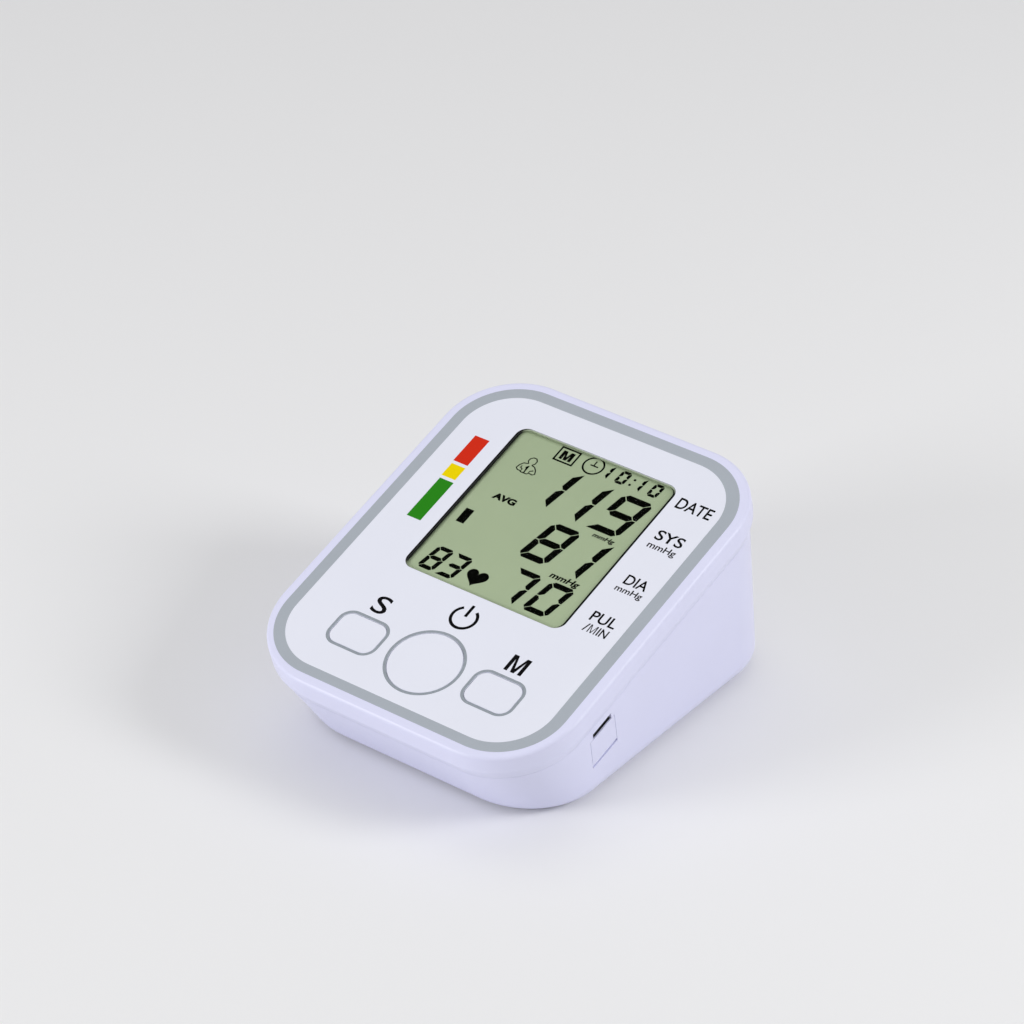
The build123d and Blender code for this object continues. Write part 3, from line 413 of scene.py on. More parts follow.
def lightGuide():
    # white diffuser with a dot pattern that spreads the light
    finish = Finish("lightGuide", tone(236, 237, 232))
    dots = finish.cells(800.0, Randomness=0.0)
    finish.paint(dots < 0.3, tone(226, 228, 222), tone(246, 246, 243))
    finish.gloss(dots, 0.6, 0.35, 0.1, 0.6)
    return finish


finishes = {
    "casing": mouldedPlastic("casingPlastic", tone(219, 220, 245), 0.36, 0.02, 0.985),
    "panel": mouldedPlastic("panelSheet", tone(228, 230, 242), 0.42, 0.02, 0.985),
    "key": mouldedPlastic("keyPlastic", tone(228, 230, 242), 0.40, 0.02, 0.985),
    "black": mouldedPlastic("blackPlastic", tone(38, 38, 40), 0.45),
    "grey": mouldedPlastic("greyPlastic", tone(150, 152, 156), 0.42),
    "darkPlastic": mouldedPlastic("darkPlastic", tone(12, 12, 13), 0.55),
    "ceramic": mouldedPlastic("ceramic", tone(168, 138, 104), 0.45, 0.2, 0.85),
    "steel": brushedMetal("plainSteel", tone(176, 178, 182), 0.30),
    "nickel": brushedMetal("nickelPlate", tone(200, 196, 186), 0.22),
    "motor": brushedMetal("zincCan", tone(168, 170, 172), 0.38, (0.06, 1.0, 1.0)),
    "brass": brushedMetal("turnedBrass", tone(198, 164, 92), 0.28, (1.0, 1.0, 0.1)),
    "foot": rubberFinish("footRubber", tone(122, 124, 128)),
    "strip": rubberFinish("contactStrip", tone(190, 120, 104)),
    "labelInk": flatInk("labelInk", tone(5, 5, 7), 0.5),
    "borderInk": flatInk("borderInk", tone(8, 9, 8), 0.5),
    "redInk": flatInk("redInk", tone(213, 46, 24)),
    "yellowInk": flatInk("yellowInk", tone(242, 216, 0)),
    "greenInk": flatInk("greenInk", tone(41, 133, 24)),
    "cellJacket": shrinkFilm("cellJacket", tone(66, 86, 112)),
    "cellBand": shrinkFilm("cellBand", tone(196, 199, 204)),
    "silver": silverPaint(),
    "gasket": gasketRubber(),
    "fadeInk": paintedShadowFinish(),
    "glass": displayGlass(),
    "lens": clearLens(),
    "board": circuitBoard(),
    "copper": copperWinding(),
    "foam": foamRubber(),
    "lightGuide": lightGuide(),
    "ring": grained(
        "ringPaint", tone(139, 147, 156), (900.0, 3.0), tone(133, 141, 149), tone(145, 153, 162),
        (0.36, 0.46), (0.1, 0.00001),
    ),
    "displayInk": grained(
        "displayInk", tone(5, 6, 4), (700.0,), tone(3, 4, 2), tone(7, 8, 6), (0.55, 0.7),
        Specular_IOR_Level=0.0,
    ),
    "chip": grained(
        "chipEpoxy", tone(36, 36, 38), (5200.0, 3.0, 0.7), tone(28, 28, 30), tone(48, 48, 50),
        (0.5, 0.68), (0.3, 0.00002), (0.0, 1.0),
    ),
    "ferrite": grained(
        "ferrite", tone(48, 48, 52), (2400.0, 4.0, 0.7), tone(36, 36, 40), tone(66, 66, 70),
        (0.55, 0.8), (0.5, 0.00003), (0.0, 1.0), Metallic=0.3,
    ),
    "silicone": grained(
        "silicone", tone(226, 227, 222), (900.0, 4.0, 0.6), tone(228, 229, 224), tone(206, 207, 200),
        (0.38, 0.55), (0.15, 0.00003), (0.4, 0.8), Subsurface_Weight=0.35, Subsurface_Scale=0.001,
    ),
}
print("finishes made:", len(finishes))

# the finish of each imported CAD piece
nodesOf = {
    "casing": "upper_casing lower_casing battery_door port_cover",
    "panel": "face_panel",
    "gasket": "window_gasket",
    "lens": "window_lens",
    "glass": "lcd_glass",
    "lightGuide": "lcd_backlight",
    "strip": "lcd_connector",
    "key": "set_key power_key memory_key",
    "black": "lcd_holder tact_switches buzzer pressure_sensor",
    "grey": "set_switch_button power_switch_button memory_switch_button pump_crank pump_head"
            " cuff_socket air_manifold",
    "board": "main_board port_board",
    "chip": "board_chips",
    "steel": "board_screws casing_screws door_pin battery_cells port_cover_pin pump_shaft valve_plunger",
    "nickel": "battery_plates battery_springs port_socket",
    "foot": "rubber_feet",
    "motor": "pump_can valve_body",
    "brass": "pump_bearing",
    "ferrite": "pump_magnets",
    "copper": "pump_armature",
    "foam": "pump_sleeve",
    "silicone": "air_tubes",
}
for finishName, nodeNames in nodesOf.items():
    for nodeName in nodeNames.split():
        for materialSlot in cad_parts[nodeName].material_slots:
            materialSlot.material = finishes[finishName].material
print("finishes given to the packed pieces")


# flat outlines, counter-clockwise as seen from outside
def arc(middle, radius, start, end, steps):
    # both ends are points of it; the angles are in degrees
    angles = [math.radians(start + (end - start) * step / steps) for step in range(steps + 1)]
    return [(middle[0] + radius * math.cos(a), middle[1] + radius * math.sin(a)) for a in angles]


def circleLoop(middle, radius, steps=96):
    return arc(middle, radius, 0, 360, steps)[:-1]


def rectangle(left, right, bottom, top):
    return [(left, bottom), (right, bottom), (right, top), (left, top)]


def roundedLoop(middle, size, radius, steps=12):
    halfWide = size[0] / 2 - radius
    halfLong = size[1] / 2 - radius
    loop = []
    for quarter, (sideX, sideY) in enumerate(((1, 1), (-1, 1), (-1, -1), (1, -1))):
        corner = (middle[0] + sideX * halfWide, middle[1] + sideY * halfLong)
        loop += arc(corner, radius, 90 * quarter, 90 * (quarter + 1), steps)
    return loop


def insetLoop(middle, size, radius, insets, steps=12):
    # a rounded outline drawn in by its own amount from the left, right, front and rear of a size
    left, right, front, rear = insets
    inside = (middle[0] + (left - right) / 2, middle[1] + (front - rear) / 2)
    return roundedLoop(inside, (size[0] - left - right, size[1] - front - rear), radius, steps)


def openRing(middle, radius, stroke, gap, steps=72):
    # a ring with a gap at its top
    outer = arc(middle, radius + stroke / 2, 90 + gap, 450 - gap, steps)
    inner = arc(middle, radius - stroke / 2, 90 + gap, 450 - gap, steps)
    return outer + inner[::-1]


def clip(outline, a, b, c):
    # keeps what lies where a*x + b*y >= c
    kept = []
    for index, here in enumerate(outline):
        before = outline[index - 1]
        hereSide = a * here[0] + b * here[1] - c
        beforeSide = a * before[0] + b * before[1] - c
        if (hereSide >= 0) != (beforeSide >= 0):
            share = beforeSide / (beforeSide - hereSide)
            kept.append(tuple(p + (q - p) * share for p, q in zip(before, here)))
        if hereSide >= 0:
            kept.append(here)
    return kept


# solids over outlines
inkThickness = 0.02


def addRows(form, loops):
    return [[form.verts.new((x, y, height)) for x, y in outline] for outline, height in loops]


def addWalls(form, rows):
    # quads between neighbouring rows of as many points each
    for here, there in zip(rows, rows[1:]):
        for index in range(len(here)):
            after = (index + 1) % len(here)
            form.faces.new((here[index], here[after], there[after], there[index]))


def addSlab(form, outline, low=0.0, high=inkThickness):
    rows = addRows(form, ((outline, low), (outline, high)))
    form.faces.new(rows[1])
    form.faces.new(rows[0][::-1])
    addWalls(form, rows)


def addRing(form, outer, inner, low=0.0, high=inkThickness):
    # a closed ring between two outlines with as many points each
    rows = addRows(form, ((outer, low), (outer, high), (inner, high), (inner, low)))
    addWalls(form, rows + rows[:1])


sharpAngle = math.radians(35)


def piece(name, draw, finishNames, body="housing", place=onPanel, smooth=False, replaced=()):
    # draw fills the form of a piece that rides on a body; its finishes become its materials, the first one
    # first
    names = finishNames.split()
    form = bmesh.new()
    draw(form)
    form.normal_update()
    bmesh.ops.triangulate(form, faces=[face for face in form.faces if len(face.verts) > 4])
    bmesh.ops.recalc_face_normals(form, faces=form.faces)
    form.transform(place)
    mesh = bpy.data.meshes.new(name)
    form.to_mesh(mesh)
    form.free()
    for finishName in names:
        mesh.materials.append(finishes[finishName].material)
    if smooth:
        mesh.shade_smooth()
        mesh.set_sharp_from_angle(angle=sharpAngle)
    made = placed(name, mesh)
    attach(made, body)
    if replaced:
        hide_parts(*replaced)


# the grey band round the edge of the panel
band = {
    "size": (94.76, 118.2), "width": (3.5, 3.8, 3.1, 3.5),
    "radius": 19.7, "innerRadius": 16.3, "steps": 24,
}


def drawBand(form):
    outer = roundedLoop((0, 0), band["size"], band["radius"], band["steps"])
    inner = insetLoop((0, 0), band["size"], band["innerRadius"], band["width"], band["steps"])
    addRing(form, outer, inner)


piece("silver_band", drawBand, "silver")

# printed rings round the keys; line and gap are how far their edges are from the key
keyRings = {
    "row": 1.0, "up": -40.4, "spacing": 23.05, "line": 0.98, "gap": 0.13,
    "keySize": (14.93, 11.05), "keyRadius": 3.3, "powerRadius": 10.62,
}


def drawKeyRings(form):
    row, up, size, radius = [keyRings[label] for label in ("row", "up", "keySize", "keyRadius")]
    reaches = (keyRings["line"], keyRings["gap"])
    for side in (-1, 1):
        middle = (row + side * keyRings["spacing"], up)
        addRing(form, *[insetLoop(middle, size, radius + out, [-out] * 4) for out in reaches])
    addRing(form, *[circleLoop((row, up), keyRings["powerRadius"] + out) for out in reaches])


piece("key_rings", drawKeyRings, "ring")

# coloured bars beside the display: left, right, bottom, top
colorBars = {
    "red_bar": ("redInk", -37.0, -32.0, 25.2, 36.1),
    "yellow_bar": ("yellowInk", -36.7, -31.9, 19.0, 24.1),
    "green_bar": ("greenInk", -36.4, -31.6, 1.8, 17.9),
}
for barName, (barFinish, *barSides) in colorBars.items():
    piece(barName, lambda form: addSlab(form, rectangle(*barSides)), barFinish)
print("band, rings and bars printed")


# lettering: plain key and reading labels
def meshOf(holder):
    # the final mesh of an object, which is then deleted
    mesh = bpy.data.meshes.new_from_object(holder.evaluated_get(bpy.context.evaluated_depsgraph_get()))
    bpy.data.objects.remove(holder)
    return mesh


def addMesh(form, mesh):
    form.from_mesh(mesh)
    bpy.data.meshes.remove(mesh)


def addWords(form, words, box, weight, high=inkThickness, lean=0.0):
    # the letters are fitted to the box: left, right, bottom, top
    curve = bpy.data.curves.new("words", "FONT")
    curve.body = words
    curve.size = 1.0
    curve.offset = weight
    curve.extrude = 0.5
    curve.resolution_u = 6
    mesh = meshOf(placed("words", curve))
    bpy.data.curves.remove(curve)
    xs = [vertex.co.x for vertex in mesh.vertices]
    ys = [vertex.co.y for vertex in mesh.vertices]
    left, right, bottom, top = box
    scaleX = (right - left - lean * (top - bottom)) / (max(xs) - min(xs))
    scaleY = (top - bottom) / (max(ys) - min(ys))
    for vertex in mesh.vertices:
        up = (vertex.co.y - min(ys)) * scaleY
        across = left + (vertex.co.x - min(xs)) * scaleX + lean * up
        vertex.co = (across, bottom + up, high if vertex.co.z > 0 else 0.0)
    addMesh(form, mesh)
    bmesh.ops.remove_doubles(form, verts=form.verts, dist=0.002)


def addLetterM(form, box, stroke, high=inkThickness):
    # a plain M with upright stems and its middle down to the line
    left, right, bottom, top = box
    wide, tall = right - left, top - bottom
    half, shoulder, notch = wide / 2, stroke * 1.3, stroke * 1.15
    outline = [
        (0, 0), (stroke, 0), (stroke, tall - notch), (half - stroke * 0.5, 0), (half + stroke * 0.5, 0),
        (wide - stroke, tall - notch), (wide - stroke, 0), (wide, 0), (wide, tall), (wide - shoulder, tall),
        (half, stroke * 1.25), (shoulder, tall), (0, tall),
    ]
    addSlab(form, [(left + x, bottom + y) for x, y in outline], 0.0, high)


labels = {
    "weight": 0.014,
    "plain": [
        ("DATE", (29.7, 41.1, 38.8, 42.9)),
        ("SYS", (31.1, 40.0, 26.3, 30.1)),
        ("mmHg", (31.0, 40.1, 22.3, 25.2)),
        ("DIA", (32.8, 40.1, 8.6, 12.2)),
        ("mmHg", (32.0, 40.7, 5.0, 7.7)),
        ("PUL", (32.0, 40.2, -6.7, -3.1)),
        ("/", (32.4, 33.7, -10.6, -7.7)),
        ("IN", (36.9, 40.0, -10.6, -7.7)),
    ],
    "keyWeight": 0.008,
    "keyLetter": ("S", (-24.6, -19.8, -32.2, -25.9)),
    "letterM": [((21.5, 27.2, -32.2, -26.3), 1.15), ((34.0, 36.4, -10.6, -7.7), 0.32)],
}


def drawLabels(form):
    for words, box in labels["plain"]:
        addWords(form, words, box, labels["weight"])
    addWords(form, *labels["keyLetter"], labels["keyWeight"])
    for box, stroke in labels["letterM"]:
        addLetterM(form, box, stroke)


piece("face_labels", drawLabels, "labelInk")

# the power sign over the round key: an open circle with a bar in its gap
powerSign = {"middle": (1.1, -22.2), "radius": 3.8, "stroke": 0.92, "gap": 35, "bar": (-21.7, -17.3)}


def drawPowerSign(form):
    middle, stroke = powerSign["middle"], powerSign["stroke"]
    addSlab(form, openRing(middle, powerSign["radius"], stroke, powerSign["gap"]))
    addSlab(form, rectangle(middle[0] - stroke / 2, middle[0] + stroke / 2, *powerSign["bar"]))


piece("power_sign", drawPowerSign, "labelInk")
print("labels printed")

# black print round the window, a black line round its opening, and a painted shadow along its left side
window = {"middle": (0.4, 15.7), "size": (54.1, 59.2), "radius": 3.4}


def windowLoop(insets, lessRadius=0.0):
    return insetLoop(window["middle"], window["size"], window["radius"] - lessRadius, insets)


def makeLensPrint():
    sizes = lensPrint
    margin, widths, depth = sizes["margin"], sizes["width"], sizes["depth"]
    outer = windowLoop([margin] * 4, margin)
    inner = windowLoop([margin + width for width in widths], margin + widths[1] / 2)
    shadowOutline = clip(outer, -1, 0, -sizes["shadowFade"][1])
    edges = (windowLoop(sizes["edge"]), windowLoop(sizes["lining"]))
    piece("lens_border", lambda form: addRing(form, outer, inner, -depth, sizes["ink"] - depth), "borderInk")
    # the strip along the left side is painted shadow
    piece("lens_painted_shadow", lambda form: addSlab(form, shadowOutline, -depth, sizes["fadeInk"] - depth), "fadeInk")
    piece("window_edge", lambda form: addRing(form, *edges, -sizes["liningDepth"]), "labelInk")


makeLensPrint()

# what the display shows, drawn on the glass
display = {
    "place": (0.11, -0.11, -0.85),
    "ink": 0.015,
    "lean": math.tan(math.radians(11)),
    # the gap between strokes grows with their width
    "joint": 0.03,
    "jointShare": 0.063158,
    # the share of a stroke's width that its corners lose
    "chamfer": 0.75,
    # lit strokes of each figure, clockwise from the top, then the middle
    "strokes": {"0": "abcdef", "1": "bc", "3": "abcdg", "7": "abc", "8": "abcdefg", "9": "abcdfg"},
    "dots": ((13.5, 43.1), (13.1, 40.9)),
    "dotSize": (0.75, 0.75),
    "dotRadius": 0.2,
    # one bar of the level scale: left, right, bottom, top
    "levelBar": (-23.3, -20.6, 7.1, 12.6),
}
onDisplay = onPanel @ Matrix.Translation(display["place"])
# figures: digit, left foot, bottom, width, height, stroke, lean share
figures = [
    ("1", -13.4, 23.0, 10.2, 15.1, 2.25, 1.0),
    ("1", -2.8, 22.2, 10.2, 15.3, 2.25, 1.0),
    ("9", 11.0, 22.2, 10.2, 15.4, 2.2, 1.0),
    ("8", -0.5, 4.5, 9.7, 15.0, 2.2, 1.0),
    ("1", 10.2, 4.5, 9.7, 14.8, 2.25, 1.0),
    ("7", 1.2, -11.3, 8.1, 12.3, 1.85, 1.0),
    ("0", 12.1, -11.3, 8.3, 12.3, 1.85, 1.0),
    ("8", -23.4, -11.8, 5.5, 9.2, 1.4, 1.0),
    ("3", -16.9, -11.8, 5.6, 9.2, 1.4, 1.0),
    ("1", 2.6, 39.75, 3.1, 5.1, 0.98, 0.45),
    ("0", 8.1, 39.75, 3.3, 5.1, 0.98, 0.45),
    ("1", 13.6, 39.75, 3.1, 5.1, 0.98, 0.45),
    ("0", 19.2, 39.75, 3.3, 5.1, 0.98, 0.45),
]


def strokeOutlines(lit, wide, high, thick, joint):
    half, tip = high / 2, thick / 2
    box = {
        "a": (0, wide, high - thick, high),
        "b": (wide - thick, wide, half, high),
        "c": (wide - thick, wide, 0, half),
        "d": (0, wide, 0, thick),
        "e": (0, thick, 0, half),
        "f": (0, thick, half, high),
        "g": (0, wide, half - tip, half + tip),
    }
    # corner: x, y, the way to the middle, and the level and upright stroke that meet there
    corners = [
        (0, high, 1, -1, "a", "f"), (wide, high, -1, -1, "a", "b"),
        (0, 0, 1, 1, "d", "e"), (wide, 0, -1, 1, "d", "c"),
    ]
    shapes = []
    for name in lit:
        shape = rectangle(*box[name])
        for x, y, toX, toY, level, upright in corners:
            if name not in (level, upright):
                continue
            both = level in lit and upright in lit
            gap = joint if both else 0.0
            sign = 1 if name == level else -1
            shape = clip(shape, sign * toX, -sign * toY, sign * (toX * x - toY * y) + gap)
            if both:
                shape = clip(shape, toX, toY, toX * x + toY * y + thick * display["chamfer"])
        if name == "g":
            for edge, toX in ((tip, 1), (wide - tip, -1)):
                for slope in (1, -1):
                    shape = clip(shape, toX, slope, toX * edge + slope * half + joint)
        if name in "bcef":
            edge, toX = (wide - tip, -1) if name in "bc" else (tip, 1)
            toY = 1 if name in "bf" else -1
            shape = clip(shape, 0, toY, toY * half + joint)
            shape = clip(shape, -toX, toY, -toX * edge + toY * half + joint)
        shapes.append(shape)
    return shapes


def addFlat(form, outline):
    addSlab(form, outline, 0.0, display["ink"])


def drawFigures(form):
    for digit, foot, bottom, wide, high, thick, leanShare in figures:
        lean = display["lean"] * leanShare
        joint = display["joint"] + display["jointShare"] * thick
        for shape in strokeOutlines(display["strokes"][digit], wide, high, thick, joint):
            addFlat(form, [(foot + x + lean * y, bottom + y) for x, y in shape])
    for middle in display["dots"]:
        addFlat(form, roundedLoop(middle, display["dotSize"], display["dotRadius"], 3))
    addFlat(form, rectangle(*display["levelBar"]))


piece("display_figures", drawFigures, "displayInk", place=onDisplay)

signs = {
    "line": 0.56,
    # left, right, bottom, top
    "memoryFrame": (-12.5, -5.8, 39.2, 44.9),
    "clock": ((-0.2, 42.3), 3.38),
    # each hand: its two ends from the clock's middle, and its line
    "hands": [([(0.0, 0.0), (0.0, 1.9)], 0.42), ([(-1.1, 0.05), (1.5, 0.05)], 0.45)],
    # left, bottom, width, height and number of points
    "heart": (-5.3, -8.3, 6.8, 6.1, 64),
    "personLine": 0.36,
    # head, left arm, right arm, waist and open collar
    "person": [
        [(-16.2, 34.5), (-15.6, 35.3), (-15.6, 36.4), (-16.3, 37.2), (-17.3, 37.2), (-18.0, 36.5),
         (-18.1, 35.5), (-17.4, 34.7), (-18.2, 34.4)],
        [(-17.6, 34.6), (-18.8, 34.3), (-19.5, 33.2), (-19.8, 31.9), (-19.0, 31.3), (-17.9, 31.3),
         (-17.9, 32.1), (-18.7, 32.5), (-18.6, 33.2)],
        [(-16.2, 34.5), (-15.0, 34.2), (-14.0, 33.2), (-13.4, 31.9), (-14.0, 31.4), (-15.4, 31.6),
         (-15.4, 32.3), (-14.5, 32.9)],
        [(-18.0, 31.4), (-17.8, 31.0), (-15.6, 31.0), (-15.3, 31.6)],
        [(-16.7, 31.1), (-16.7, 34.0), (-17.3, 33.1), (-16.7, 32.6)],
    ],
}


def strokePath(form, points, thick):
    # a line of even thickness along open points, with mitred joints
    leftSide, rightSide = [], []
    for index, point in enumerate(points):
        before = Vector(points[max(index - 1, 0)])
        after = Vector(points[min(index + 1, len(points) - 1)])
        along = (after - before).normalized() * (thick / 2)
        leftSide.append((point[0] - along.y, point[1] + along.x))
        rightSide.append((point[0] + along.y, point[1] - along.x))
    addFlat(form, rightSide + leftSide[::-1])


def heartLoop(left, bottom, wide, high, count):
    # the usual heart curve is 32 wide and 29 high, and its widest part is 2.6 above its middle
    loop = []
    for step in range(count):
        angle = -2 * math.pi * step / count
        x = 16 * math.sin(angle) ** 3
        y = 13 * math.cos(angle) - 5 * math.cos(2 * angle) - 2 * math.cos(3 * angle) - math.cos(4 * angle)
        loop.append((left + x * wide / 32, bottom + (y + 2.6) * high / 29))
    return loop


def drawSigns(form):
    line = signs["line"]
    left, right, bottom, top = signs["memoryFrame"]
    inner = rectangle(left + line, right - line, bottom + line, top - line)
    addRing(form, rectangle(left, right, bottom, top), inner, 0.0, display["ink"])
    (x, y), radius = signs["clock"]
    addRing(form, circleLoop((x, y), radius, 64), circleLoop((x, y), radius - line, 64), 0.0, display["ink"])
    for ends, handLine in signs["hands"]:
        strokePath(form, [(x + right, y + up) for right, up in ends], handLine)
    addFlat(form, heartLoop(*signs["heart"]))
    for points in signs["person"]:
        strokePath(form, points, signs["personLine"])


piece("display_signs", drawSigns, "displayInk", place=onDisplay)

# words: box, weight and lean
displayWords = [
    ("AVG", (-19.4, -11.7, 19.0, 21.4), 0.055, 0.0),
    ("mmHg", (14.5, 21.9, 19.4, 21.4), 0.035, 0.2),
    ("mmHg", (12.4, 22.4, 1.2, 3.9), 0.035, 0.2),
]
displayM = {"box": (-11.1, -7.2, 40.3, 43.7), "stroke": 1.0}


def drawDisplayWords(form):
    for words, box, weight, lean in displayWords:
        addWords(form, words, box, weight, display["ink"], lean)
    addLetterM(form, displayM["box"], displayM["stroke"], display["ink"])


piece("display_words", drawDisplayWords, "displayInk", place=onDisplay)
print("display figures drawn")


# repeats grown by Geometry Nodes, in millimetres
class Tree(Nodes):
    # a Geometry Nodes tree with named number inputs
    def __init__(self, name, sizes):
        super().__init__(bpy.data.node_groups.new(name, "GeometryNodeTree"))
        self.sizes = sizes
        self.inputs = {}
        for label, value in sizes.items():
            kind = "NodeSocketInt" if isinstance(value, int) else "NodeSocketFloat"
            socket = self.tree.interface.new_socket(label, in_out="INPUT", socket_type=kind)
            self.inputs[label] = socket.identifier
        self.tree.interface.new_socket("Geometry", in_out="OUTPUT", socket_type="NodeSocketGeometry")
        self.start = self.tree.nodes.new("NodeGroupInput")
        self.end = self.tree.nodes.new("NodeGroupOutput")

    def size(self, label):
        return Wire(self, self.start.outputs[label])

    def vector(self, x=0.0, y=0.0, z=0.0):
        return self.node("ShaderNodeCombineXYZ", None, {0: x, 1: y, 2: z})

    def block(self):
        # a small block standing on the board, its near long side at the row
        wide, long, high = self.size("wide"), self.size("long"), self.size("height")
        solid = self.node("GeometryNodeMeshCube", None, {"Size": self.vector(wide, long, high)})
        lift = self.vector(0.0, long * 0.5, high * 0.5)
        return self.node("GeometryNodeTransform", None, {"Geometry": solid, "Translation": lift})

    def row(self, instance, upward=False):
        # count copies, a pitch apart and centred on the middle, along X or upward along Y
        count, pitch = self.size("count"), self.size("pitch")
        steps = (pitch * (count - 1.0) * -0.5, pitch)
        start, offset = [self.vector(y=step) if upward else self.vector(step) for step in steps]
        sockets = {"Count": count, "Start Location": start, "Offset": offset}
        line = self.node("GeometryNodeMeshLine", None, sockets)
        return self.node("GeometryNodeInstanceOnPoints", None, {"Points": line, "Instance": instance})

    def grow(self, last, finishName):
        real = self.node("GeometryNodeRealizeInstances", None, {0: last})
        sockets = {0: real, 2: finishes[finishName].material}
        self.feed(self.end.inputs[0], self.node("GeometryNodeSetMaterial", None, sockets))
        holder = placed("grown", bpy.data.meshes.new("grown"))
        modifier = holder.modifiers.new("grown", "NODES")
        modifier.node_group = self.tree
        for label, value in self.sizes.items():
            modifier[self.inputs[label]] = value
        return meshOf(holder)


# under the battery door: grip ribs near its free edge and an arrow that points the way it opens
doorLow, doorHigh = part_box("battery_door")
ribsPlace = {"fromRearEdge": 12.5, "sunk": 0.1}
doorRibs = {
    "count": 7, "pitch": 2.1, "length": 24.0, "points": 33,
    "radius": 0.55, "sides": 14, "roundness": 10.0, "thinnest": 0.05,
}
doorArrow = {"fromRearEdge": 26.0, "length": 7.0, "width": 9.0, "raised": 0.3, "sunk": 0.15, "stroke": 1.1}


def underDoor(fromRearEdge, sunk=0.0):
    middle = Vector(((doorLow.x + doorHigh.x) / 2, doorHigh.y, doorLow.z)) / mm
    return inWorld @ Matrix.Translation(middle + Vector((0, -fromRearEdge, sunk)))


def drawDoorRibs(form):
    ribs = Tree("gripRibs", doorRibs)
    half = ribs.size("length") * 0.5
    ends = {0: ribs.vector(half * -1.0), 1: ribs.vector(half)}
    line = ribs.node("GeometryNodeCurvePrimitiveLine", None, ends)
    line = ribs.node("GeometryNodeResampleCurve", None, {"Curve": line, "Count": ribs.size("points")})
    # the radius falls away round each end
    fromMiddle = ribs.sum("ABSOLUTE", ribs.node("GeometryNodeSplineParameter") * 2.0 - 1.0)
    fall = ribs.sum("POWER", fromMiddle, ribs.size("roundness"))
    thickness = ribs.sum("MAXIMUM", ribs.sum("SQRT", 1.0 - fall), ribs.size("thinnest"))
    circle = {"Resolution": ribs.size("sides"), "Radius": ribs.size("radius")}
    profile = ribs.node("GeometryNodeCurvePrimitiveCircle", None, circle)
    sweep = {0: line, 1: profile, "Scale": thickness, "Fill Caps": True}
    rib = ribs.node("GeometryNodeCurveToMesh", None, sweep)
    addMesh(form, ribs.grow(ribs.row(rib, upward=True), "casing"))


def drawDoorArrow(form):
    half = doorArrow["width"] / 2
    tip = doorArrow["length"] / 2
    outer = [(-half, -tip), (half, -tip), (0, tip)]
    # the inner triangle shrinks towards the middle of the inscribed circle
    inRadius = half * 2 * tip / (half + math.hypot(half, 2 * tip))
    share = 1 - doorArrow["stroke"] / inRadius
    middleUp = inRadius - tip
    inner = [(x * share, middleUp + (y - middleUp) * share) for x, y in outer]
    addRing(form, outer, inner, -doorArrow["raised"], doorArrow["sunk"])


piece("door_ribs", drawDoorRibs, "casing", "battery_door", underDoor(**ribsPlace), smooth=True)
piece("door_arrow", drawDoorArrow, "casing", "battery_door", underDoor(doorArrow["fromRearEdge"]))
print("door ribs and arrow made")

# the black bezel of the charging socket, with black sheets behind the slot as painted shade; heights are
# from the socket's mouth, depths below the face
portBezel = {
    "up": -27.6, "low": -0.95, "high": -0.4,
    "middleDepth": 20.35, "size": (10.7, 11.2), "radius": 0.4,
    "holeDepth": 20.2, "hole": (2.9, 7.7), "holeRadius": 1.3, "steps": 8,
    # behind the slot, painted shade: half its width, a black plate up to it, and a black hood close behind
    # the flap's thin lip
    "slotHalf": 4.15,
    "shadePlate": (12.95, 15.2),
    "shadeHood": (13.0, 16.0),
    "shadeHoodOut": 1.85,
}


def drawPortBezel(form):
    bezel = portBezel
    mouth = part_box("port_socket")[1].x / mm
    up, low, high = bezel["up"], mouth + bezel["low"], mouth + bezel["high"]
    outer = roundedLoop((bezel["middleDepth"], up), bezel["size"], bezel["radius"], bezel["steps"])
    inner = roundedLoop((bezel["holeDepth"], up), bezel["hole"], bezel["holeRadius"], bezel["steps"])
    addRing(form, outer, inner, low, high)
    slot = (up - bezel["slotHalf"], up + bezel["slotHalf"])
    # the plate and the hood are painted shade: black sheets that darken the slot
    addSlab(form, rectangle(*bezel["shadePlate"], *slot), low, high)
    addSlab(form, rectangle(*bezel["shadeHood"], *slot), low, mouth + bezel["shadeHoodOut"])


piece("port_bezel_and_shade", drawPortBezel, "darkPlastic", place=inWall)

# battery cells: jacket, crimped rim, raised contact and flat base
cell = {
    # each cell's place across, and which way it points
    "spots": ((-22.5, 1), (-7.5, -1), (7.5, 1), (22.5, -1)),
    "height": 10.4,
    "length": 50.5,
    "segments": 48,
    # along from the base, radius, finish: 0 jacket, 1 bright metal, 2 pale band
    "profile": (
        (0.25, 0.0, 1), (0.25, 4.6, 1), (0.0, 5.0, 1), (0.0, 5.9, 0), (0.25, 6.7, 0), (0.8, 7.1, 0),
        (35.0, 7.1, 2), (48.6, 7.1, 2), (49.2, 6.8, 2), (49.5, 6.2, 1), (49.1, 5.7, 1), (48.9, 4.4, 1),
        (49.1, 3.0, 1), (49.3, 2.7, 1), (50.3, 2.7, 1), (50.5, 2.45, 1), (50.5, 0.0, 1),
    ),
}


def lathe(form, profile, base, turn, segments):
    # profile points turned about a line along Y, from base towards turn
    rows = []
    for along, radius, finishIndex in profile:
        level = base[1] + turn * along
        spots = circleLoop((base[0], base[2]), radius, segments) if radius else [(base[0], base[2])]
        rows.append([form.verts.new((x, level, z)) for x, z in spots])
    for point, here, there in zip(profile, rows, rows[1:]):
        for step in range(segments):
            spots = ((here, step), (here, step + 1), (there, step + 1), (there, step))
            corners = [row[index % len(row)] for row, index in spots]
            form.faces.new(list(dict.fromkeys(corners))).material_index = point[2]


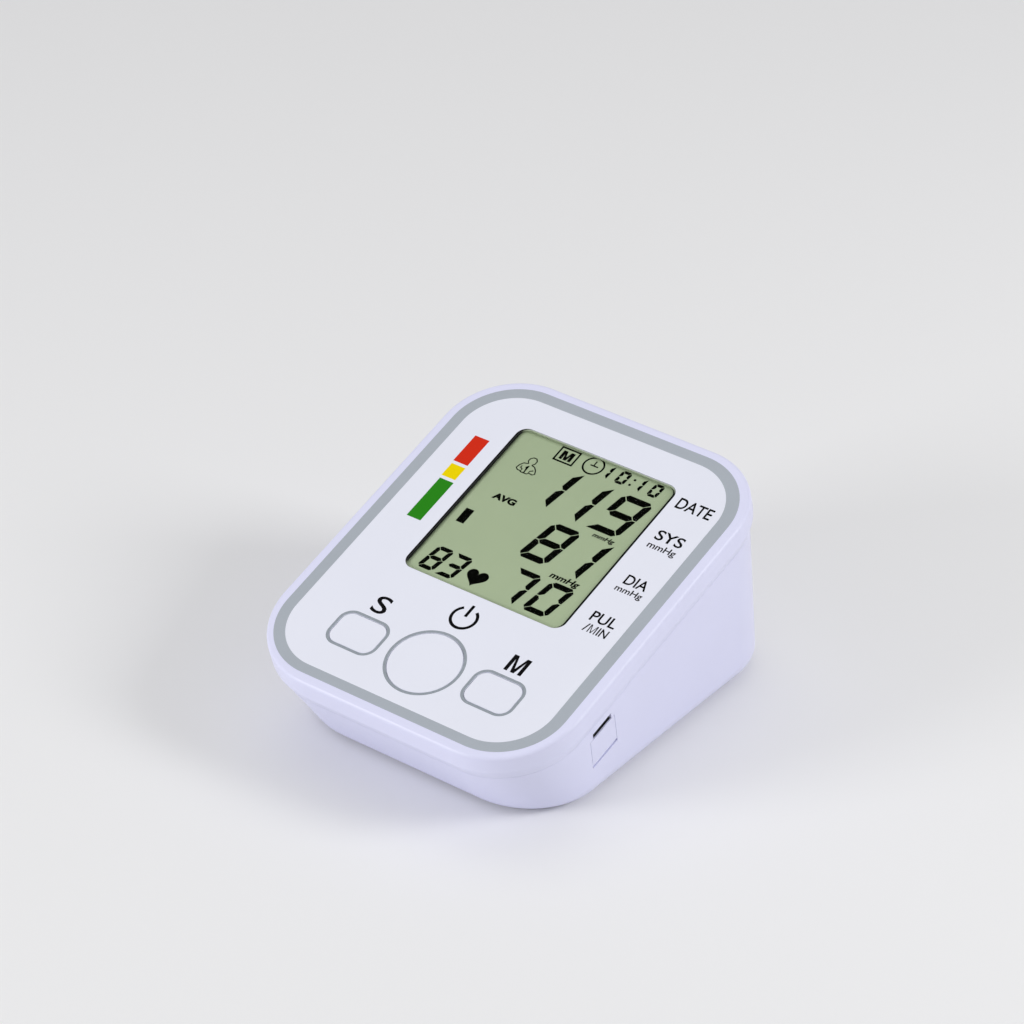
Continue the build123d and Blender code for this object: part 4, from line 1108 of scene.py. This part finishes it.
def drawCells(form):
    low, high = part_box("battery_cells")
    for x, turn in cell["spots"]:
        start = low.y / mm + cell["length"] if turn > 0 else high.y / mm - cell["length"]
        lathe(form, cell["profile"], (x, start, cell["height"]), -turn, cell["segments"])


cellFinishes = "cellJacket steel cellBand"
piece("dry_cells", drawCells, cellFinishes, place=inWorld, smooth=True, replaced=("battery_cells",))

# case screws: pan heads with a cross recess on threaded shanks
screw = {
    "segments": 48,
    "head": 2.5,
    # the outline of the head: how far in from its radius, and up from its face
    "outline": ((0.3, 0.0), (0.09, 0.09), (0.0, 0.3), (0.0, 2.0)),
    "crossWide": 0.42, "crossLong": 1.5, "crossDeep": 0.9,
    # the recess narrows to this share at its floor
    "crossFloor": 0.55,
    "shank": 1.4, "thread": 0.9, "threadDepth": 0.16, "plainEnd": 0.4, "tipShare": 0.4,
}


def boxesOf(name, place=inWorld):
    # the lowest and highest corner of each body of a CAD node, along a drawing place's axes
    form = bmesh.new()
    form.from_mesh(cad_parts[name].data)
    form.transform(place.inverted())
    bmesh.ops.remove_doubles(form, verts=form.verts, dist=0.001)
    seen = set()
    found = []
    for vertex in form.verts:
        if vertex in seen:
            continue
        group = [vertex]
        seen.add(vertex)
        for member in group:
            for edge in member.link_edges:
                other = edge.other_vert(member)
                if other not in seen:
                    seen.add(other)
                    group.append(other)
        low, high = [[side(member.co[axis] for member in group) for axis in range(3)] for side in (min, max)]
        found.append((low, high))
    form.free()
    return found


def middleOf(low, high):
    return ((low[0] + high[0]) / 2, (low[1] + high[1]) / 2)


def crossLoop(middle, share):
    # a plus sign's outline read at even angles, so that it joins to a circle of as many points
    def arm(along, aside):
        return min(screw["crossLong"] / max(along, 1e-6), screw["crossWide"] / max(aside, 1e-6))

    loop = []
    for x, y in circleLoop((0, 0), 1.0, screw["segments"]):
        reach = max(arm(abs(x), abs(y)), arm(abs(y), abs(x))) * share
        loop.append((middle[0] + reach * x, middle[1] + reach * y))
    return loop


def drawScrews(form):
    for low, high in boxesOf("casing_screws"):
        middle, bottom, top = middleOf(low, high), low[2], high[2]
        shank, thread = screw["shank"], screw["thread"]
        # radius and height of each ring after the recess
        rings = [(screw["head"] - inward, bottom + up) for inward, up in screw["outline"]]
        height = rings[-1][1]
        rings.append((shank, height))
        while height + thread < top - screw["plainEnd"]:
            rings.append((shank - screw["threadDepth"], height + thread / 2))
            height += thread
            rings.append((shank, height))
        rings.append((shank * screw["tipShare"], top))
        floor = (crossLoop(middle, screw["crossFloor"]), bottom + screw["crossDeep"])
        loops = [floor, (crossLoop(middle, 1.0), bottom)]
        loops += [(circleLoop(middle, radius, screw["segments"]), up) for radius, up in rings]
        rows = addRows(form, loops)
        form.faces.new(rows[0])
        form.faces.new(rows[-1])
        addWalls(form, rows)


piece("case_screws", drawScrews, "steel", place=inWorld, smooth=True, replaced=("casing_screws",))
print("bezel, cells and screws made")

# circuit board: the chips' pins and rows of small parts, on its underside
pinPitch = 1.0
pinFoot = {"pitch": pinPitch, "wide": 0.4, "long": 0.95, "height": 0.16}
pinUpright = {"pitch": pinPitch, "wide": 0.4, "long": 0.16, "height": 0.75}
smallParts = {"count": 6, "pitch": 2.3, "wide": 1.6, "long": 0.85, "height": 0.55}
partCaps = {"count": 6, "pitch": 2.3, "wide": 0.34, "long": 0.89, "height": 0.59}
# each part's two metal ends, from its middle and from the row
capSpots = ((-0.68, -0.02), (0.68, -0.02))
# right, up and turn in degrees of each row of small parts
partRows = (
    (0.0, 21.5, 0), (0.0, 2.0, 0), (9.0, 12.0, 90), (-19.0, 13.2, 0),
    (19.0, 38.2, 0), (12.0, -33.4, 0), (-19.0, 27.0, 0),
)
boardUnderside = min(low[2] for low, high in boxesOf("main_board", onPanel))


def underBoard(right, up, turn, away=0.0):
    # a place on the board's underside, with Z away from the board
    spot = Matrix.Translation((right, up, boardUnderside)) @ Matrix.Rotation(math.pi, 4, "X")
    return spot @ Matrix.Rotation(math.radians(turn), 4, "Z") @ Matrix.Translation((0, away, 0))


def addBlocks(form, name, sizes, finishName, places):
    # a grown row of blocks, copied to each place
    blocks = Tree(name, sizes)
    mesh = blocks.grow(blocks.row(blocks.block()), finishName)
    for place in places:
        copy = mesh.copy()
        copy.transform(place)
        addMesh(form, copy)
    bpy.data.meshes.remove(mesh)


def drawChipPins(form):
    for low, high in boxesOf("board_chips", onPanel):
        wide, long = high[0] - low[0], high[1] - low[1]
        sides = []
        if wide >= long:
            sides += [(0, long / 2), (180, long / 2)]
        if long >= wide:
            sides += [(90, wide / 2), (270, wide / 2)]
        count = int((max(wide, long) - pinPitch) / pinPitch) + 1
        places = [underBoard(*middleOf(low, high), turn, away) for turn, away in sides]
        for name, sizes in (("pinFeet", pinFoot), ("pinUprights", pinUpright)):
            addBlocks(form, name, dict(sizes, count=count), "nickel", places)


def makeSmallParts():
    rows = [underBoard(*spot) for spot in partRows]
    ends = [row @ Matrix.Translation((*spot, 0)) for spot in capSpots for row in rows]
    piece("small_parts", lambda form: addBlocks(form, "smallParts", smallParts, "ceramic", rows), "ceramic")
    piece("part_caps", lambda form: addBlocks(form, "partCaps", partCaps, "nickel", ends), "nickel")


piece("chip_pins", drawChipPins, "nickel")
makeSmallParts()
print("board parts made")

# stage: pale floor, white surroundings and soft lamps
stage = {"half": 3.0, "floor": (0.86, 0.86, 0.87, 1.0), "roughness": 0.9, "white": 1.0, "skyLight": 0.5}


def makeFloor():
    half = stage["half"]
    mesh = bpy.data.meshes.new("floor")
    mesh.from_pydata([(x, y, 0) for x, y in rectangle(-half, half, -half, half)], [], [(0, 1, 2, 3)])
    mesh.materials.append(Finish("floorWhite", stage["floor"], Roughness=stage["roughness"]).material)
    placed("floor", mesh)


def makeSky():
    # white as the camera, mirrors and the lens see it, and dimmer as a light
    world = bpy.data.worlds.new("studio")
    bpy.context.scene.world = world
    world.use_nodes = True
    sky = Nodes(world.node_tree)
    seen = 0.0
    for ray in ("Is Camera Ray", "Is Glossy Ray", "Is Transmission Ray"):
        seen = sky.sum("MAXIMUM", seen, sky.node("ShaderNodeLightPath", out=ray))
    background = sky.tree.nodes["Background"].inputs
    sky.feed(background["Color"], (1, 1, 1, 1))
    sky.feed(background["Strength"], sky.spread(seen, 0.0, 1.0, stage["skyLight"], stage["white"]))


# lamps: place, size and power in watts; each looks at the middle of the unit
lamps = {
    "topLamp": ((-0.25, 0.15, 1.25), 0.9, 1.8),
    "rightLamp": ((1.0, 0.4, 0.75), 0.45, 6.2),
    "leftLamp": ((-0.6, -1.1, 0.42), 0.45, 7.0),
}


def makeLamps():
    target = (cadBox[0] + cadBox[1]) / 2
    for name, (place, size, power) in lamps.items():
        data = bpy.data.lights.new(name, "AREA")
        data.shape = "SQUARE"
        data.size = size
        data.energy = power
        lamp = placed(name, data)
        lamp.location = place
        lamp.rotation_mode = "QUATERNION"
        lamp.rotation_quaternion = (target - Vector(place)).to_track_quat("-Z", "Y")


makeFloor()
makeSky()
makeLamps()
bpy.context.scene.view_settings.view_transform = "Standard"
print("stage and lamps set")
